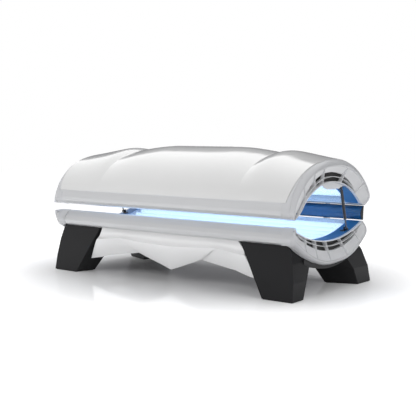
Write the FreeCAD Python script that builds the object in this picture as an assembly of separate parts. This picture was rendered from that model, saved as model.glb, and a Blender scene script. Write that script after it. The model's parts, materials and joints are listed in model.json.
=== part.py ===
import FreeCAD, Part
import math
import os
from FreeCAD import Vector

# Clamshell tanning bed.  Millimetres, +X along the bed to its right end, +Y to the back,
# +Z up, origin on the floor under the middle.  The canopy is closed on its stop.
# "left" is -X and "right" is +X.

# ---------------------------------------------------------------- driving dimensions

LENGTH = 2130.0                 # over the two end housings
DEPTH = 1007.0                  # over the canopy, front to back
LEG_HEIGHT = 190.0              # floor to the lowest point of the belly
BED_CORE = 154.0                # belly to the lowest point of the lying surface
BED_RAIL_HEIGHT = 110.0
ENTRY_GAP = 45.0                # between the two front rails with the canopy closed
CANOPY_RAIL_HEIGHT = 109.0
CANOPY_RISE = 256.0             # front seam to the ridge at the canopy's ends
CROWN_RISE = 67.0               # how much higher the ridge is in the middle
CANOPY_CORE = 148.0             # tunnel roof to the ridge at the canopy's ends

CANOPY_JOINT = 90.0             # length of a canopy end housing
BED_JOINT = 103.0               # length of a bed end housing
SHELL_WALL = 4.0
HOUSING_WALL = 9.0
FACE_WALL = 4.0                 # end face of a housing
PAN_WALL = 4.0
RAIL_WALL = 4.0
APRON_WALL = 4.0
CLEAR = 0.3                     # between pieces that seat on each other
SEAM = 0.5                      # visible seam between covers

CANOPY_ACRYLIC = 4.0
BED_ACRYLIC = 6.0
STRIP_SET_IN = 20.0             # end face to the outer end of a dark strip
STRIP_LENGTH = 97.0
LAMP_R = 19.0
LAMP_WALL = 1.0
LAMP_SIDES = 12                 # flats that a lamp's round tube is drawn with
LAMPS = 12                      # in each half
LAMP_GAP = 8.0                  # acrylic to lamp, and lamp to reflector
LAMP_SIDE_GAP = 5.0             # outermost lamp to the edge of the acrylic
REFLECTOR = 1.5
HOLDER_LENGTH = 18.0
HOLDER_WIDTH = 26.0
BULKHEAD = 3.0

HINGE_SET_IN = 78.5             # hinge axis in front of the canopy's back
HINGE_DROP = 19.0               # hinge axis under the canopy's lip
HINGE_FROM_END = 305.0          # end face to the middle of an outer hinge
HINGE_PIN_R = 8.0
HINGE_PIN_HEAD = 2.0            # how far a pin stands out of its ears
PIN_PLAY = 0.08
EAR = 6.0
EAR_GAP = 0.5                   # ear to tongue
TONGUE = 14.0
HUB_R = 18.0
FOOT_HALF = 34.0                # half width of a hinge's foot on its rail
FOOT_THICK = 4.0
COVER_R = 58.0
COVER_WALL = 3.0
COVER_TAB = 20.0                # height of the tab that holds the cover
COVER_SET_IN = 9.0              # end face to the end of the hinge cover
COVER_ARC = (110.0, 225.0)      # where the cover starts and ends, from +Y

STRUT_SET_IN = 36.0             # end face to the middle of a gas strut
STRUT_LOW_AT = (214.0, 14.9)    # its lower pivot: in front of the hinge, and over the bed's tunnel
STRUT_HIGH_AT = (292.0, 16.03)  # its upper pivot: in front of the hinge, and under the canopy's tunnel
STRUT_TUBE_R = 10.0
STRUT_ROD_R = 5.0
STRUT_EYE_R = 9.0
STRUT_EYE = 12.0                # thickness of an eye
STRUT_TUBE_LENGTH = 205.0
STRUT_TUBE_END = 8.0            # closed end of the tube
STUD_R = 5.0
STUD_GAP = 0.5                  # eye to stud plate, and eye to stud head
STUD_HEAD = (8.0, 3.5)          # radius and thickness
STUD_PLATE = 6.0
STUD_PLATE_WIDTH = 26.0
STUD_FOOT = 33.0                # length of the foot that a stud plate stands on
STUD_FOOT_THICK = 6.0

FAN_SIZE = 150.0
FAN_DEPTH = 38.0
FAN_BORE_R = 68.0
FAN_HUB_R = 22.0
FAN_HUB_SIDES = 12
FAN_SPINDLE_R = 3.0
FAN_SPIDER = 4.0                # thickness of the spider that holds the spindle
FAN_ARM = 8.0
FAN_INSET = 6.0                 # rotor to either face of the frame
FAN_BLADES = 5
FAN_BLADE = (24.0, 2.0, 38.0)   # width, thickness and pitch angle
FAN_TIP_PLAY = 3.0
FAN_TRAY_GAP = 5.0
DUCT_WALL = 4.0

VENT_X = (-350.0, 180.0)
VENT_Y = (60.0, 165.0)
VENT_LAP = 7.0
VENT_SLATS = 6
VENT_BAR = 14.0                 # solid edge and middle of the outlet, along the bed
VENT_THICK = 3.0

BEAM = 30.0                     # width of an inner beam
BEAM_WALL = 2.0
BED_BEAM_Y = 0.397              # share of the half depth, so that the beams stay over the belly
CANOPY_BEAM_Y = (-150.0, 120.0)
CANOPY_BEAM_GAP = 10.0          # reflector to beam
TRAY = 2.0
BALLAST = (190.0, 60.0, 34.0)
BALLAST_GAP = 2.5               # bed ballasts to the reflector over them
BED_BALLAST_PITCH = 200.0
CANOPY_BALLAST_FROM_FAN = (-515.0, -295.0, 285.0, 505.0, 725.0)
TRAY_MARGIN = 20.0              # tray beyond the last ballast of the canopy

PAD_THICK = 4.0
PAD_INSET = 7.0
SADDLE = 30.0                   # thickness of the saddle between a front and a back leg

GLAND_FROM_END = 465.0
GLAND_R = 11.0
GLAND_NUT = 17.0                # across the corners, as a radius
GLAND_NUT_HEIGHT = 8.0
GLAND_BORE_R = 6.5
GLAND_HOLE_R = 8.0              # hole in the pan over the gland
GLAND_LENGTH = 30.0
INTAKE_SLOTS = 7
INTAKE_MARGIN = 4.0             # end of a slot to the fan's bore

PANEL_SET_IN = 29.0             # end face to the control panel
PANEL_LENGTH = 74.0
PANEL_Y = (-130.0, 50.0)
PANEL_THICK = 8.0
BUTTON_R = 9.0
BUTTON_PROUD = 3.0
BUTTON_TRAVEL = 2.0
BUTTON_YS = (("start_button", -75.0), ("stop_button", -5.0))

# ---------------------------------------------------------------- derived levels

HALF = LENGTH / 2
BACK = DEPTH / 2
FRONT = -BACK
BELLY_Z = LEG_HEIGHT
DIP_Z = BELLY_Z + BED_CORE
BED_RAIL_Z = DIP_Z + 1.0                        # underside of the bed's rails
BED_TOP_Z = BED_RAIL_Z + BED_RAIL_HEIGHT
LIP_Z = BED_TOP_Z + ENTRY_GAP - 1.0             # underside of the canopy's lip
SEAM_Z = LIP_Z + CANOPY_RAIL_HEIGHT             # front seam of the canopy shell
REAR_SEAM_Z = SEAM_Z - 16.0
END_TOP_Z = SEAM_Z + CANOPY_RISE
TUNNEL_Z = END_TOP_Z - CANOPY_CORE
CANOPY_END = HALF - CANOPY_JOINT                # joint of rail and end housing
BED_END = HALF - BED_JOINT
STRIP_END = HALF - STRIP_SET_IN
STRIP_START = STRIP_END - STRIP_LENGTH
ACRYLIC_HALF = STRIP_START - 2 * SEAM
HINGE = (BACK - HINGE_SET_IN, LIP_Z - HINGE_DROP)
HINGE_X = HALF - HINGE_FROM_END
COVER_HALF = HALF - COVER_SET_IN
STRUT_X = HALF - STRUT_SET_IN
BED_TRAY_END = 2 * BED_BALLAST_PITCH
FAN_X = BED_TRAY_END + FAN_TRAY_GAP + FAN_SIZE / 2

os.makedirs("parts", exist_ok=True)
SIDES = (("left", -1), ("right", 1))


# ---------------------------------------------------------------- helpers

def save(name, *solids):
    """Write one node: a single solid, or a group of separate ones."""
    shape = solids[0] if len(solids) == 1 else Part.makeCompound(solids)
    shape.exportStep("parts/" + name + ".step")


def point(yz, x=0.0):
    return Vector(x, yz[0], yz[1])


def circle_through(a, b, c):
    """Centre (y, z) and radius of the circle through three (y, z) points."""
    circle = Part.Arc(point(a), point(b), point(c)).toShape().Curve
    return (circle.Center.y, circle.Center.z), circle.Radius


def circle_z(circle, y, sign):
    """Height of a circle at y, on its upper (+1) or lower (-1) half."""
    (cy, cz), radius = circle
    return cz + sign * math.sqrt(radius ** 2 - (y - cy) ** 2)


def grown(circle, by):
    return circle[0], circle[1] + by


def rounded(corners):
    """Closed wire in the YZ plane through corners (y, z, corner radius)."""
    edges = []
    starts = []
    ends = []
    for i, (y, z, radius) in enumerate(corners):
        here = point((y, z))
        back = (point(corners[i - 1][:2]) - here).normalize()
        ahead = (point(corners[(i + 1) % len(corners)][:2]) - here).normalize()
        half_angle = back.getAngle(ahead) / 2
        reach = radius / math.tan(half_angle)
        starts.append(here + back * reach)
        ends.append(here + ahead * reach)
        if radius > 0:
            middle = here + (back + ahead).normalize() * (radius / math.sin(half_angle) - radius)
            edges.append(Part.Arc(starts[-1], middle, ends[-1]).toShape())
    for i in range(len(corners)):
        edges.append(Part.makeLine(ends[i - 1], starts[i]))
    return Part.Wire(Part.__sortEdges__(edges))


def prism(wire, x0, x1):
    """Extrude a closed YZ wire from x0 to x1."""
    face = Part.Face(wire)
    face.translate(Vector(x0, 0, 0))
    return face.extrude(Vector(x1 - x0, 0, 0))


def hollow_prism(corners, wall, x0, x1):
    """An extrusion with one chamber."""
    wire = rounded(corners)
    chamber = wire.makeOffset2D(-wall)
    return prism(wire, x0, x1).cut(prism(chamber, x0 - 1, x1 + 1))


def disc(circle, x0, x1):
    """Solid cylinder along X over a (centre, radius) circle."""
    (cy, cz), radius = circle
    return Part.makeCylinder(radius, x1 - x0, Vector(x0, cy, cz), Vector(1, 0, 0))


def block(x0, x1, y0, y1, z0, z1):
    return Part.makeBox(x1 - x0, y1 - y0, z1 - z0, Vector(x0, y0, z0))


def band(circle, inner_by, outer_by, y0, y1, sign, x0, x1):
    """Curved sheet along a circle, between two growths of its radius, cut off at y0 and y1."""
    sheet = disc(grown(circle, outer_by), x0, x1).cut(disc(grown(circle, inner_by), x0 - 1, x1 + 1))
    low, high = (circle[0][1], circle[0][1] + 2 * circle[1])
    if sign < 0:
        low, high = (circle[0][1] - 2 * circle[1], circle[0][1])
    return sheet.common(block(x0 - 1, x1 + 1, y0, y1, low, high))


def largest(shape):
    return max(shape.Solids, key=lambda solid: solid.Volume)


def polygon(centre, radius, sides, x):
    """Closed wire with evenly spaced corners on a circle across X."""
    corners = []
    for i in range(sides + 1):
        turn = 2 * math.pi * i / sides
        corners.append(Vector(x, centre[0] + radius * math.sin(turn), centre[1] + radius * math.cos(turn)))
    return Part.makePolygon(corners)


def both_ways(solid):
    """A right-hand solid and its left-hand mirror image."""
    return solid, solid.mirror(Vector(0, 0, 0), Vector(1, 0, 0))


def sided(solid, side):
    """The right-hand solid itself, or its mirror image for the left."""
    return solid if side > 0 else solid.mirror(Vector(0, 0, 0), Vector(1, 0, 0))


def inward(path, distance):
    """Move the points of a clockwise (y, z) path towards its inside."""
    moved = []
    for i, (y, z) in enumerate(path):
        y0, z0 = path[max(i - 1, 0)]
        y1, z1 = path[min(i + 1, len(path) - 1)]
        length = math.hypot(y1 - y0, z1 - z0)
        amount = distance[i] if isinstance(distance, list) else distance
        moved.append((y + (z1 - z0) / length * amount, z - (y1 - y0) / length * amount))
    return moved


def stations_of(row):
    """Curve parameters that follow the square root of the distance between a row's points."""
    along = [0.0]
    for a, b in zip(row, row[1:]):
        along.append(along[-1] + math.sqrt((b - a).Length))
    return [value / along[-1] for value in along]


def skin(rows, across):
    """B-spline surface through rows of points, with the rows' own curves as its sections."""
    curves = []
    for row in rows:
        curve = Part.BSplineCurve()
        curve.interpolate(Points=row, Parameters=across)
        curves.append(curve)
    along = stations_of([row[len(row) // 2] for row in rows])
    columns = []
    for poles in zip(*[curve.getPoles() for curve in curves]):
        column = Part.BSplineCurve()
        column.interpolate(Points=list(poles), Parameters=along)
        columns.append(column)
    surface = Part.BSplineSurface()
    surface.buildFromPolesMultsKnots(
        [list(poles) for poles in zip(*[column.getPoles() for column in columns])],
        columns[0].getMultiplicities(), curves[0].getMultiplicities(),
        columns[0].getKnots(), curves[0].getKnots(),
        False, False, columns[0].Degree, curves[0].Degree)
    return surface


def sewn(faces):
    shell = Part.makeShell(faces)
    shell.sewShape()
    solid = Part.makeSolid(shell)
    if solid.Volume < 0:
        solid.reverse()
    return solid


def skinned_wall(outer_rows, inner_rows, creases):
    """Solid wall between two sets of rows, with a sharp line at each crease row."""
    across = stations_of(outer_rows[0])
    cuts = [0] + list(creases) + [len(outer_rows) - 1]
    faces = []
    ends = []
    for start, stop in zip(cuts, cuts[1:]):
        outer = skin(outer_rows[start:stop + 1], across)
        inner = skin(inner_rows[start:stop + 1], across)
        faces += [outer.toShape(), inner.toShape()]
        for v in (0.0, 1.0):
            faces.append(Part.makeRuledSurface(outer.vIso(v).toShape(), inner.vIso(v).toShape()))
        ends.append((outer, inner))
    for (outer, inner), u in ((ends[0], 0.0), (ends[-1], 1.0)):
        faces.append(Part.makeRuledSurface(outer.uIso(u).toShape(), inner.uIso(u).toShape()))
    return sewn(faces)


def skinned_plug(rows):
    """Solid inside one set of planar rows, with a ruled side between the rows' two ends."""
    surface = skin(rows, stations_of(rows[0]))
    faces = [surface.toShape()]
    faces.append(Part.makeRuledSurface(surface.vIso(0.0).toShape(), surface.vIso(1.0).toShape()))
    for row, u in ((rows[0], 0.0), (rows[-1], 1.0)):
        shut = Part.makeLine(row[-1], row[0])
        faces.append(Part.Face(Part.Wire([surface.uIso(u).toShape(), shut])))
    return sewn(faces)


# ---------------------------------------------------------------- circles of the cross-section

CANOPY_LIP_LAP = 4.0            # how far the canopy's lip laps behind the tunnel's front edge
TUNNEL_FRONT = FRONT + 60.0
TUNNEL_REAR = HINGE[0] - 79.0
TUNNEL = circle_through((FRONT + 54.0, LIP_Z + 27.0), (-40.0, TUNNEL_Z), (TUNNEL_REAR, HINGE[1] + 75.0))
BED_FRONT = FRONT + 78.5
BED_REAR = HINGE[0] - 53.0
BED_ARC = circle_through((BED_FRONT, BED_TOP_Z - 38.0), (-45.0, DIP_Z), (BED_REAR, BED_TOP_Z - 21.0))
BELLY = circle_through((FRONT + 33.5, BED_RAIL_Z - 29.0), (-30.0, BELLY_Z), (BACK - 48.5, BED_RAIL_Z + 1.0))


def on_circle(circle, y, sign):
    return y, circle_z(circle, y, sign)


CANOPY_WINDOW = circle_through(on_circle(TUNNEL, FRONT + 118.0, 1), (-10.0, TUNNEL_Z + 63.0),
                               on_circle(TUNNEL, TUNNEL_REAR - 8.0, 1))
BED_WINDOW = circle_through(on_circle(BED_ARC, FRONT + 98.0, -1), (-20.0, DIP_Z - 76.0),
                            on_circle(BED_ARC, BED_REAR - 22.0, -1))

# ---------------------------------------------------------------- canopy shell

# Cross-section of the canopy, front seam to rear seam: y as a share of the half depth,
# z as a share of the rise over the seam, then the share of the crown rise, of the
# groove's depth and of the flare of the shell's ends that each point takes.
CANOPY_SECTION = (
    (-0.979, 0.000, 0.00, 0.00, 1.00),
    (-0.922, 0.250, 0.12, 0.10, 0.52),
    (-0.828, 0.469, 0.25, 0.30, 0.29),
    (-0.699, 0.668, 0.39, 0.55, 0.10),
    (-0.520, 0.836, 0.58, 0.80, 0.00),
    (-0.298, 0.945, 0.80, 0.95, 0.00),
    (-0.040, 1.000, 1.00, 1.00, 0.00),
    (0.199, 0.988, 1.00, 1.00, 0.00),
    (0.427, 0.898, 1.00, 0.95, 0.00),
    (0.640, 0.723, 0.93, 0.80, 0.10),
    (0.824, 0.453, 0.80, 0.50, 0.29),
    (0.943, 0.184, 0.52, 0.20, 0.52),
    (1.000, -0.0625, 0.12, 0.00, 1.00),
)
GROOVE_FROM_END = 448.0         # end face to the middle of a groove
GROOVE_DEPTH = 19.0
SHELL_SET_IN = 35.0             # end face to the shell's end at the ridge
SHELL_FLARE = 31.0              # how much shorter it is along its two seams
GROOVE_X = HALF - GROOVE_FROM_END
SHELL_END = HALF - SHELL_SET_IN
# Ridge from the middle to a groove, then from the groove to the shell's end: share of
# that way, share of the crown rise and share of the groove's depth.
RIDGE_TO_GROOVE = (
    (0.000, 1.00, 0.00),
    (0.324, 1.00, 0.00),
    (0.567, 0.97, 0.00),
    (0.778, 0.79, 0.06),
    (0.859, 0.77, 0.35),
    (0.932, 0.755, 0.68),
    (1.000, 0.75, 1.00),
)
RIDGE_TO_END = (
    (0.056, 0.75, 0.62),
    (0.140, 0.74, 0.18),
    (0.262, 0.72, 0.00),
    (0.443, 0.57, 0.00),
    (0.685, 0.31, 0.00),
    (1.000, 0.00, 0.00),
)
RIDGE = [(share * GROOVE_X, crown, groove) for share, crown, groove in RIDGE_TO_GROOVE]
RIDGE += [(GROOVE_X + share * (SHELL_END - GROOVE_X), crown, groove) for share, crown, groove in RIDGE_TO_END]


def canopy_path(crown=0.0, groove=0.0):
    """(y, z) points of the canopy's cross-section."""
    base = [(share_y * BACK, SEAM_Z + share_z * CANOPY_RISE + rise * crown * CROWN_RISE)
            for share_y, share_z, rise, _, _ in CANOPY_SECTION]
    return inward(base, [row[3] * groove * GROOVE_DEPTH for row in CANOPY_SECTION])


def canopy_rows(inset, seam_gap, beyond):
    """Rows of the canopy's skin from the left end to the right end."""
    half = []
    for x, crown, groove in RIDGE:
        path = inward(canopy_path(crown, groove), inset)
        path[0] = (path[0][0], SEAM_Z + seam_gap)
        path[-1] = (path[-1][0], REAR_SEAM_Z + seam_gap)
        row = []
        for (y, z), shape in zip(path, CANOPY_SECTION):
            flared = max(x - GROOVE_X, 0.0) / (SHELL_END - GROOVE_X)
            row.append(point((y, z), x + flared * (beyond - shape[4] * SHELL_FLARE)))
        half.append(row)
    mirrored = [[Vector(-p.x, p.y, p.z) for p in row] for row in reversed(half[1:])]
    return mirrored + half


def canopy_band(outset, inset, seam_gap, beyond):
    """Wall along the canopy's skin, from outset outside it to inset inside it."""
    crease = len(RIDGE_TO_GROOVE) - 1
    last = len(RIDGE) - 1
    return skinned_wall(canopy_rows(-outset, seam_gap, beyond), canopy_rows(inset, seam_gap, beyond),
                        (last - crease, last + crease))


CANOPY_FAN = (0.5 * sum(VENT_X), 0.5 * sum(VENT_Y))
CANOPY_FAN_TOP = END_TOP_Z + 6.0


def make_canopy_shell():
    opening = block(VENT_X[0] + VENT_LAP, VENT_X[1] - VENT_LAP, VENT_Y[0] + VENT_LAP, VENT_Y[1] - VENT_LAP,
                    END_TOP_Z, END_TOP_Z + 2 * CROWN_RISE)
    save("canopy_shell", canopy_band(0.0, SHELL_WALL, SEAM, 0.0).cut(opening))


def make_canopy_vent():
    """Slatted outlet on the back of the crown, with the duct of the fan below it."""
    plate = canopy_band(CLEAR + VENT_THICK, -CLEAR, 0.0, 0.0)
    plate = plate.common(block(*VENT_X, *VENT_Y, END_TOP_Z, END_TOP_Z + 2 * CROWN_RISE))
    pitch = (VENT_Y[1] - VENT_Y[0] - 2 * VENT_LAP) / VENT_SLATS
    slots = []
    for i in range(VENT_SLATS):
        y = VENT_Y[0] + VENT_LAP + (i + 0.5) * pitch
        for x0, x1 in ((VENT_X[0], CANOPY_FAN[0]), (CANOPY_FAN[0], VENT_X[1])):
            slots.append(block(x0 + VENT_BAR, x1 - VENT_BAR, y - 0.3 * pitch, y + 0.3 * pitch,
                               END_TOP_Z, END_TOP_Z + 2 * CROWN_RISE))
    save("canopy_vent", plate.cut(slots))


def fan_duct():
    """Square duct from the fan up to the inside of the shell, cut to its curve."""
    half = FAN_SIZE / 2
    x, y = CANOPY_FAN
    top = END_TOP_Z + 2 * CROWN_RISE
    duct = block(x - half, x + half, y - half, y + half, CANOPY_FAN_TOP, top)
    inner = half - DUCT_WALL
    duct = duct.cut(block(x - inner, x + inner, y - inner, y + inner, CANOPY_FAN_TOP - 1, top + 1))
    return duct.cut(canopy_band(3 * CROWN_RISE, SHELL_WALL + CLEAR, 0.0, 0.0))


# ---------------------------------------------------------------- rails

CANOPY_LIP = ((FRONT + 66.0, LIP_Z), (FRONT + 45.0, LIP_Z + 5.0), (FRONT + 25.0, LIP_Z + 13.0),
              (FRONT + 8.0, LIP_Z + 28.0), (FRONT, LIP_Z + 47.0), (FRONT + 2.5, LIP_Z + 77.0))
CANOPY_HEEL = ((HINGE[0] + 63.0, HINGE[1] + 94.0), (HINGE[0] + 30.0, HINGE[1] + 87.0),
               (HINGE[0] - 33.0, HINGE[1] + 58.0))


def canopy_front_corners():
    """Section of the canopy's front rail: corners (y, z, rounding), from its seam down the front."""
    seam_y = CANOPY_SECTION[0][0] * BACK
    return [(seam_y, SEAM_Z, 0), (FRONT, LIP_Z + 58, 30), (FRONT, LIP_Z + 34, 14),
            (FRONT + 22, LIP_Z + 12, 16), (FRONT + 66, LIP_Z, 3),
            (TUNNEL_FRONT, circle_z(TUNNEL, TUNNEL_FRONT, 1), 0), (TUNNEL_FRONT, SEAM_Z, 0)]


def canopy_rear_corners():
    """Section of the canopy's rear rail, from its seam down the back and along its hinge seat."""
    seat = TUNNEL_REAR + CLEAR
    return [(BACK, REAR_SEAM_Z, 0), (CANOPY_HEEL[0][0], CANOPY_HEEL[0][1], 12), (*CANOPY_HEEL[1], 20),
            (*CANOPY_HEEL[2], 8), (seat, HINGE[1] + 70, 3), (seat, HINGE[1] + 96, 3),
            (HINGE[0], REAR_SEAM_Z + 4, 6), (HINGE[0] + 40, REAR_SEAM_Z, 0)]


def make_canopy_rails():
    for name, corners in (("canopy_front_rail", canopy_front_corners()),
                          ("canopy_rear_rail", canopy_rear_corners())):
        save(name, hollow_prism(corners, RAIL_WALL, -CANOPY_END + CLEAR, CANOPY_END - CLEAR))


BED_NOSE = ((BED_FRONT - 5.0, BED_TOP_Z), (FRONT + 58.0, BED_TOP_Z - 5.0),
            (FRONT + 22.0, BED_TOP_Z - 42.0), (FRONT + 7.5, BED_TOP_Z - 70.0))
BED_TAIL = ((BACK - 38.0, BED_RAIL_Z + 7.0), (BACK - 50.0, BED_RAIL_Z + 30.0),
            (BACK - 78.0, BED_RAIL_Z + 52.0), (BACK - 118.0, BED_RAIL_Z + 80.0))


def bed_front_corners():
    """Section of the bed's front rail, from the edge of the lying surface over its nose."""
    return [(BED_FRONT, BED_TOP_Z - 1, 3), (*BED_NOSE[1], 12), (*BED_NOSE[2], 30), (*BED_NOSE[3], 14),
            (FRONT + 16, BED_RAIL_Z + 12, 14), (FRONT + 40, BED_RAIL_Z, 6), (BED_FRONT, BED_RAIL_Z, 0)]


def bed_rear_corners():
    """Section of the bed's rear rail, from the edge of the lying surface down its hinge seat."""
    seat = BED_REAR + CLEAR
    return [(seat, circle_z(BED_ARC, BED_REAR, -1), 0), (*BED_TAIL[3], 6), (*BED_TAIL[2], 14),
            (*BED_TAIL[1], 14), (*BED_TAIL[0], 8), (BACK - 48.5, BED_RAIL_Z, 0),
            (BACK - 90, BED_RAIL_Z, 4), (seat, BED_TOP_Z - 48, 6)]


def make_bed_rails():
    for name, corners in (("bed_front_rail", bed_front_corners()), ("bed_rear_rail", bed_rear_corners())):
        save(name, hollow_prism(corners, RAIL_WALL, -BED_END + CLEAR, BED_END - CLEAR))


# ---------------------------------------------------------------- end housings and grilles

# How an end housing rounds into its face: distance from the face, share of the rounding.
ROUNDING = ((42.0, 0.0), (30.0, 0.06), (19.0, 0.22), (10.0, 0.45), (4.0, 0.70), (0.0, 1.0))
CANOPY_ROUNDING = 46.0          # how far the canopy's housing rounds in at its face
BED_ROUNDING = 16.0
LEG_TOP_SET_IN = 64.0           # end face to the top of a front leg
RIM_START = STRIP_END + CLEAR


def housing_rows(path, shares, joint, radius, inset):
    """Rows of an end housing's skin: straight from its joint, then rounding into its face."""
    face = HALF - (FACE_WALL if inset else 0.0)
    places = [(joint, 0.0), (0.5 * (joint + face - ROUNDING[0][0]), 0.0)]
    places += [(face - away, share) for away, share in ROUNDING]
    rows = []
    for x, share in places:
        rows.append([point(p, x) for p in inward(path, [inset + share * radius * s for s in shares])])
    return rows


def canopy_housing_path():
    arch = canopy_path()
    front = on_circle(TUNNEL, TUNNEL_FRONT + CANOPY_LIP_LAP, 1)
    rear = on_circle(TUNNEL, TUNNEL_REAR, 1)
    path = [front] + list(CANOPY_LIP) + arch + list(CANOPY_HEEL) + [rear]
    shares = [0.0, 0.05, 0.15, 0.2, 0.2, 0.25, 0.35] + [0.55, 0.8] + [1.0] * (len(arch) - 4)
    shares += [0.75, 0.35, 0.15, 0.1, 0.05, 0.0]
    return path, shares


# Points of the bed's belly that its end housing is drawn through: place across as a share
# of the half depth, and how far the housing hangs below the belly there.
BELLY_POINTS = ((0.811, 10.0), (0.596, 30.0), (0.357, 27.0), (0.119, 17.0), (-0.060, 13.0),
                (-0.258, 9.0), (-0.497, -2.0), (-0.715, -12.0), (-0.881, -23.0))


def bed_housing_path():
    front = (BED_FRONT, circle_z(BED_ARC, BED_FRONT, -1))
    rear = (BED_REAR, circle_z(BED_ARC, BED_REAR, -1))
    belly = [(share * BACK, circle_z(BELLY, share * BACK, -1) - drop) for share, drop in BELLY_POINTS]
    path = [rear] + list(reversed(BED_TAIL)) + belly
    path += [(FRONT + 23.0, BED_RAIL_Z + 1.0)] + list(reversed(BED_NOSE)) + [front]
    shares = [0.0, 0.1, 0.25, 0.3, 0.3, 0.6] + [1.0] * (len(belly) - 1) + [0.9, 0.7, 0.5, 0.25, 0.1, 0.0]
    return path, shares


def make_housing(path, shares, cavity, joint, radius, tunnel, acrylic, window):
    """Hollow end housing around the tunnel, open to its joint and with a window for its grille."""
    start = joint - 5
    outer = skinned_plug(housing_rows(path, shares, joint, radius, 0.0))
    chamber = skinned_plug(housing_rows(path[cavity], shares[cavity], joint - 1, radius, HOUSING_WALL))
    chamber = chamber.cut(disc(grown(tunnel, HOUSING_WALL), start, HALF))
    body = outer.cut([disc(tunnel, start, HALF + 5), disc(grown(tunnel, acrylic + CLEAR), start, RIM_START)])
    return body.cut([chamber, disc(window, start, HALF + 5)]), outer


GRILLE_BAR = 4.0
GRILLE_SET_BACK = 2.0           # face of the rim behind the end face
RIB_THICK = 4.0
# Where the ribs start on the tunnel, as shares of the half depth.
CANOPY_RIBS = (-0.695, -0.497, -0.308, 0.143, 0.530)
BED_RIBS = (-0.701, -0.477, -0.224, 0.127, 0.487)


def make_grille(tunnel, window, rib_places, sign):
    """Crescent grille between the tunnel and the housing's window: rim, outer bar, middle bar, ribs."""
    inner, outer = tunnel, grown(window, -SEAM)
    middle = (tuple(0.5 * (a + b) for a, b in zip(inner[0], outer[0])), 0.5 * (inner[1] + outer[1]))
    x0, x1 = RIM_START, HALF - GRILLE_SET_BACK

    def region(start, stop, circle):
        return disc(circle, start, stop).cut(disc(inner, start - 1, stop + 1))

    def bar(centre, low, high, start, stop):
        return disc(grown(centre, high), start, stop).cut(disc(grown(centre, low), start - 1, stop + 1))

    pieces = [region(x0, x1, outer).cut(disc(grown(outer, -GRILLE_BAR), x0 - 1, x1 + 1)),
              region(x0, x1, outer).common(disc(grown(inner, GRILLE_BAR + 1), x0 - 1, x1 + 1)),
              region(x0, x1 - 3, outer).common(bar(middle, -GRILLE_BAR / 2, GRILLE_BAR / 2, x0, x1 - 3))]
    for share in rib_places:
        foot = point(on_circle(inner, share * BACK, sign))
        lean = math.degrees(math.atan2(middle[0][0] - foot.y, foot.z - middle[0][1]))
        rib = Part.makeBox(x1 - 1 - x0, RIB_THICK, CANOPY_CORE, Vector(x0, -RIB_THICK / 2, -20.0))
        rib.rotate(Vector(0, 0, 0), Vector(1, 0, 0), lean)
        rib.translate(foot)
        pieces.append(rib.common(region(x0, x1 - 1, outer)))
    return pieces[0].fuse(pieces[1:]).removeSplitter()


def leg_pocket(play):
    """Room under the nose of a bed housing for the top of the front leg, less a play all round."""
    end = HALF - LEG_TOP_SET_IN + CLEAR - play
    return block(BED_END - 1, end, FRONT, BED_FRONT - play, 0.0, BED_RAIL_Z - play)


def make_ends():
    path, shares = canopy_housing_path()
    arch = slice(len(CANOPY_LIP) + 1, len(CANOPY_LIP) + len(CANOPY_SECTION))
    canopy, _ = make_housing(path, shares, arch, CANOPY_END, CANOPY_ROUNDING, TUNNEL, CANOPY_ACRYLIC,
                             CANOPY_WINDOW)
    canopy = canopy.cut(canopy_band(3 * SHELL_WALL, SHELL_WALL + CLEAR, 0.0, SEAM))
    path, shares = bed_housing_path()
    belly = slice(len(BED_TAIL) + 1, len(path) - len(BED_NOSE) - 2)
    bed, bed_outer = make_housing(path, shares, belly, BED_END, BED_ROUNDING, BED_ARC, BED_ACRYLIC,
                                  BED_WINDOW)
    bed = bed.cut(leg_pocket(0.0))
    bed_outer = bed_outer.cut(leg_pocket(CLEAR))
    canopy_grille = make_grille(TUNNEL, CANOPY_WINDOW, CANOPY_RIBS, 1)
    bed_grille = make_grille(BED_ARC, BED_WINDOW, BED_RIBS, -1)
    for word, side in SIDES:
        save("canopy_end_housing_" + word, sided(canopy, side))
        save("bed_end_housing_" + word, sided(bed, side))
        save("canopy_end_grille_" + word, sided(canopy_grille, side))
        save("bed_end_grille_" + word, sided(bed_grille, side))
    return bed_outer


# ---------------------------------------------------------------- lying surface, lamps, reflectors

CANOPY_BULKHEAD_X = CANOPY_END - 12.0           # inner face of a canopy bulkhead
BED_BULKHEAD_X = BED_END - BULKHEAD
LAMP_DEPTH = LAMP_GAP + LAMP_R
REFLECTOR_DEPTH = 2 * LAMP_GAP + 2 * LAMP_R


def lamp_places(tunnel, acrylic, y0, y1, sign):
    """Lamp centres (y, z) and lean in degrees, evenly spread along the tunnel."""
    ring = grown(tunnel, acrylic + LAMP_DEPTH)
    keep = LAMP_R + LAMP_SIDE_GAP
    low = math.asin((y0 + keep - ring[0][0]) / ring[1])
    high = math.asin((y1 - keep - ring[0][0]) / ring[1])
    places = []
    for i in range(LAMPS):
        angle = low + (high - low) * i / (LAMPS - 1)
        centre = (ring[0][0] + ring[1] * math.sin(angle), ring[0][1] + sign * ring[1] * math.cos(angle))
        places.append((centre, -sign * math.degrees(angle)))
    return places


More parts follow.
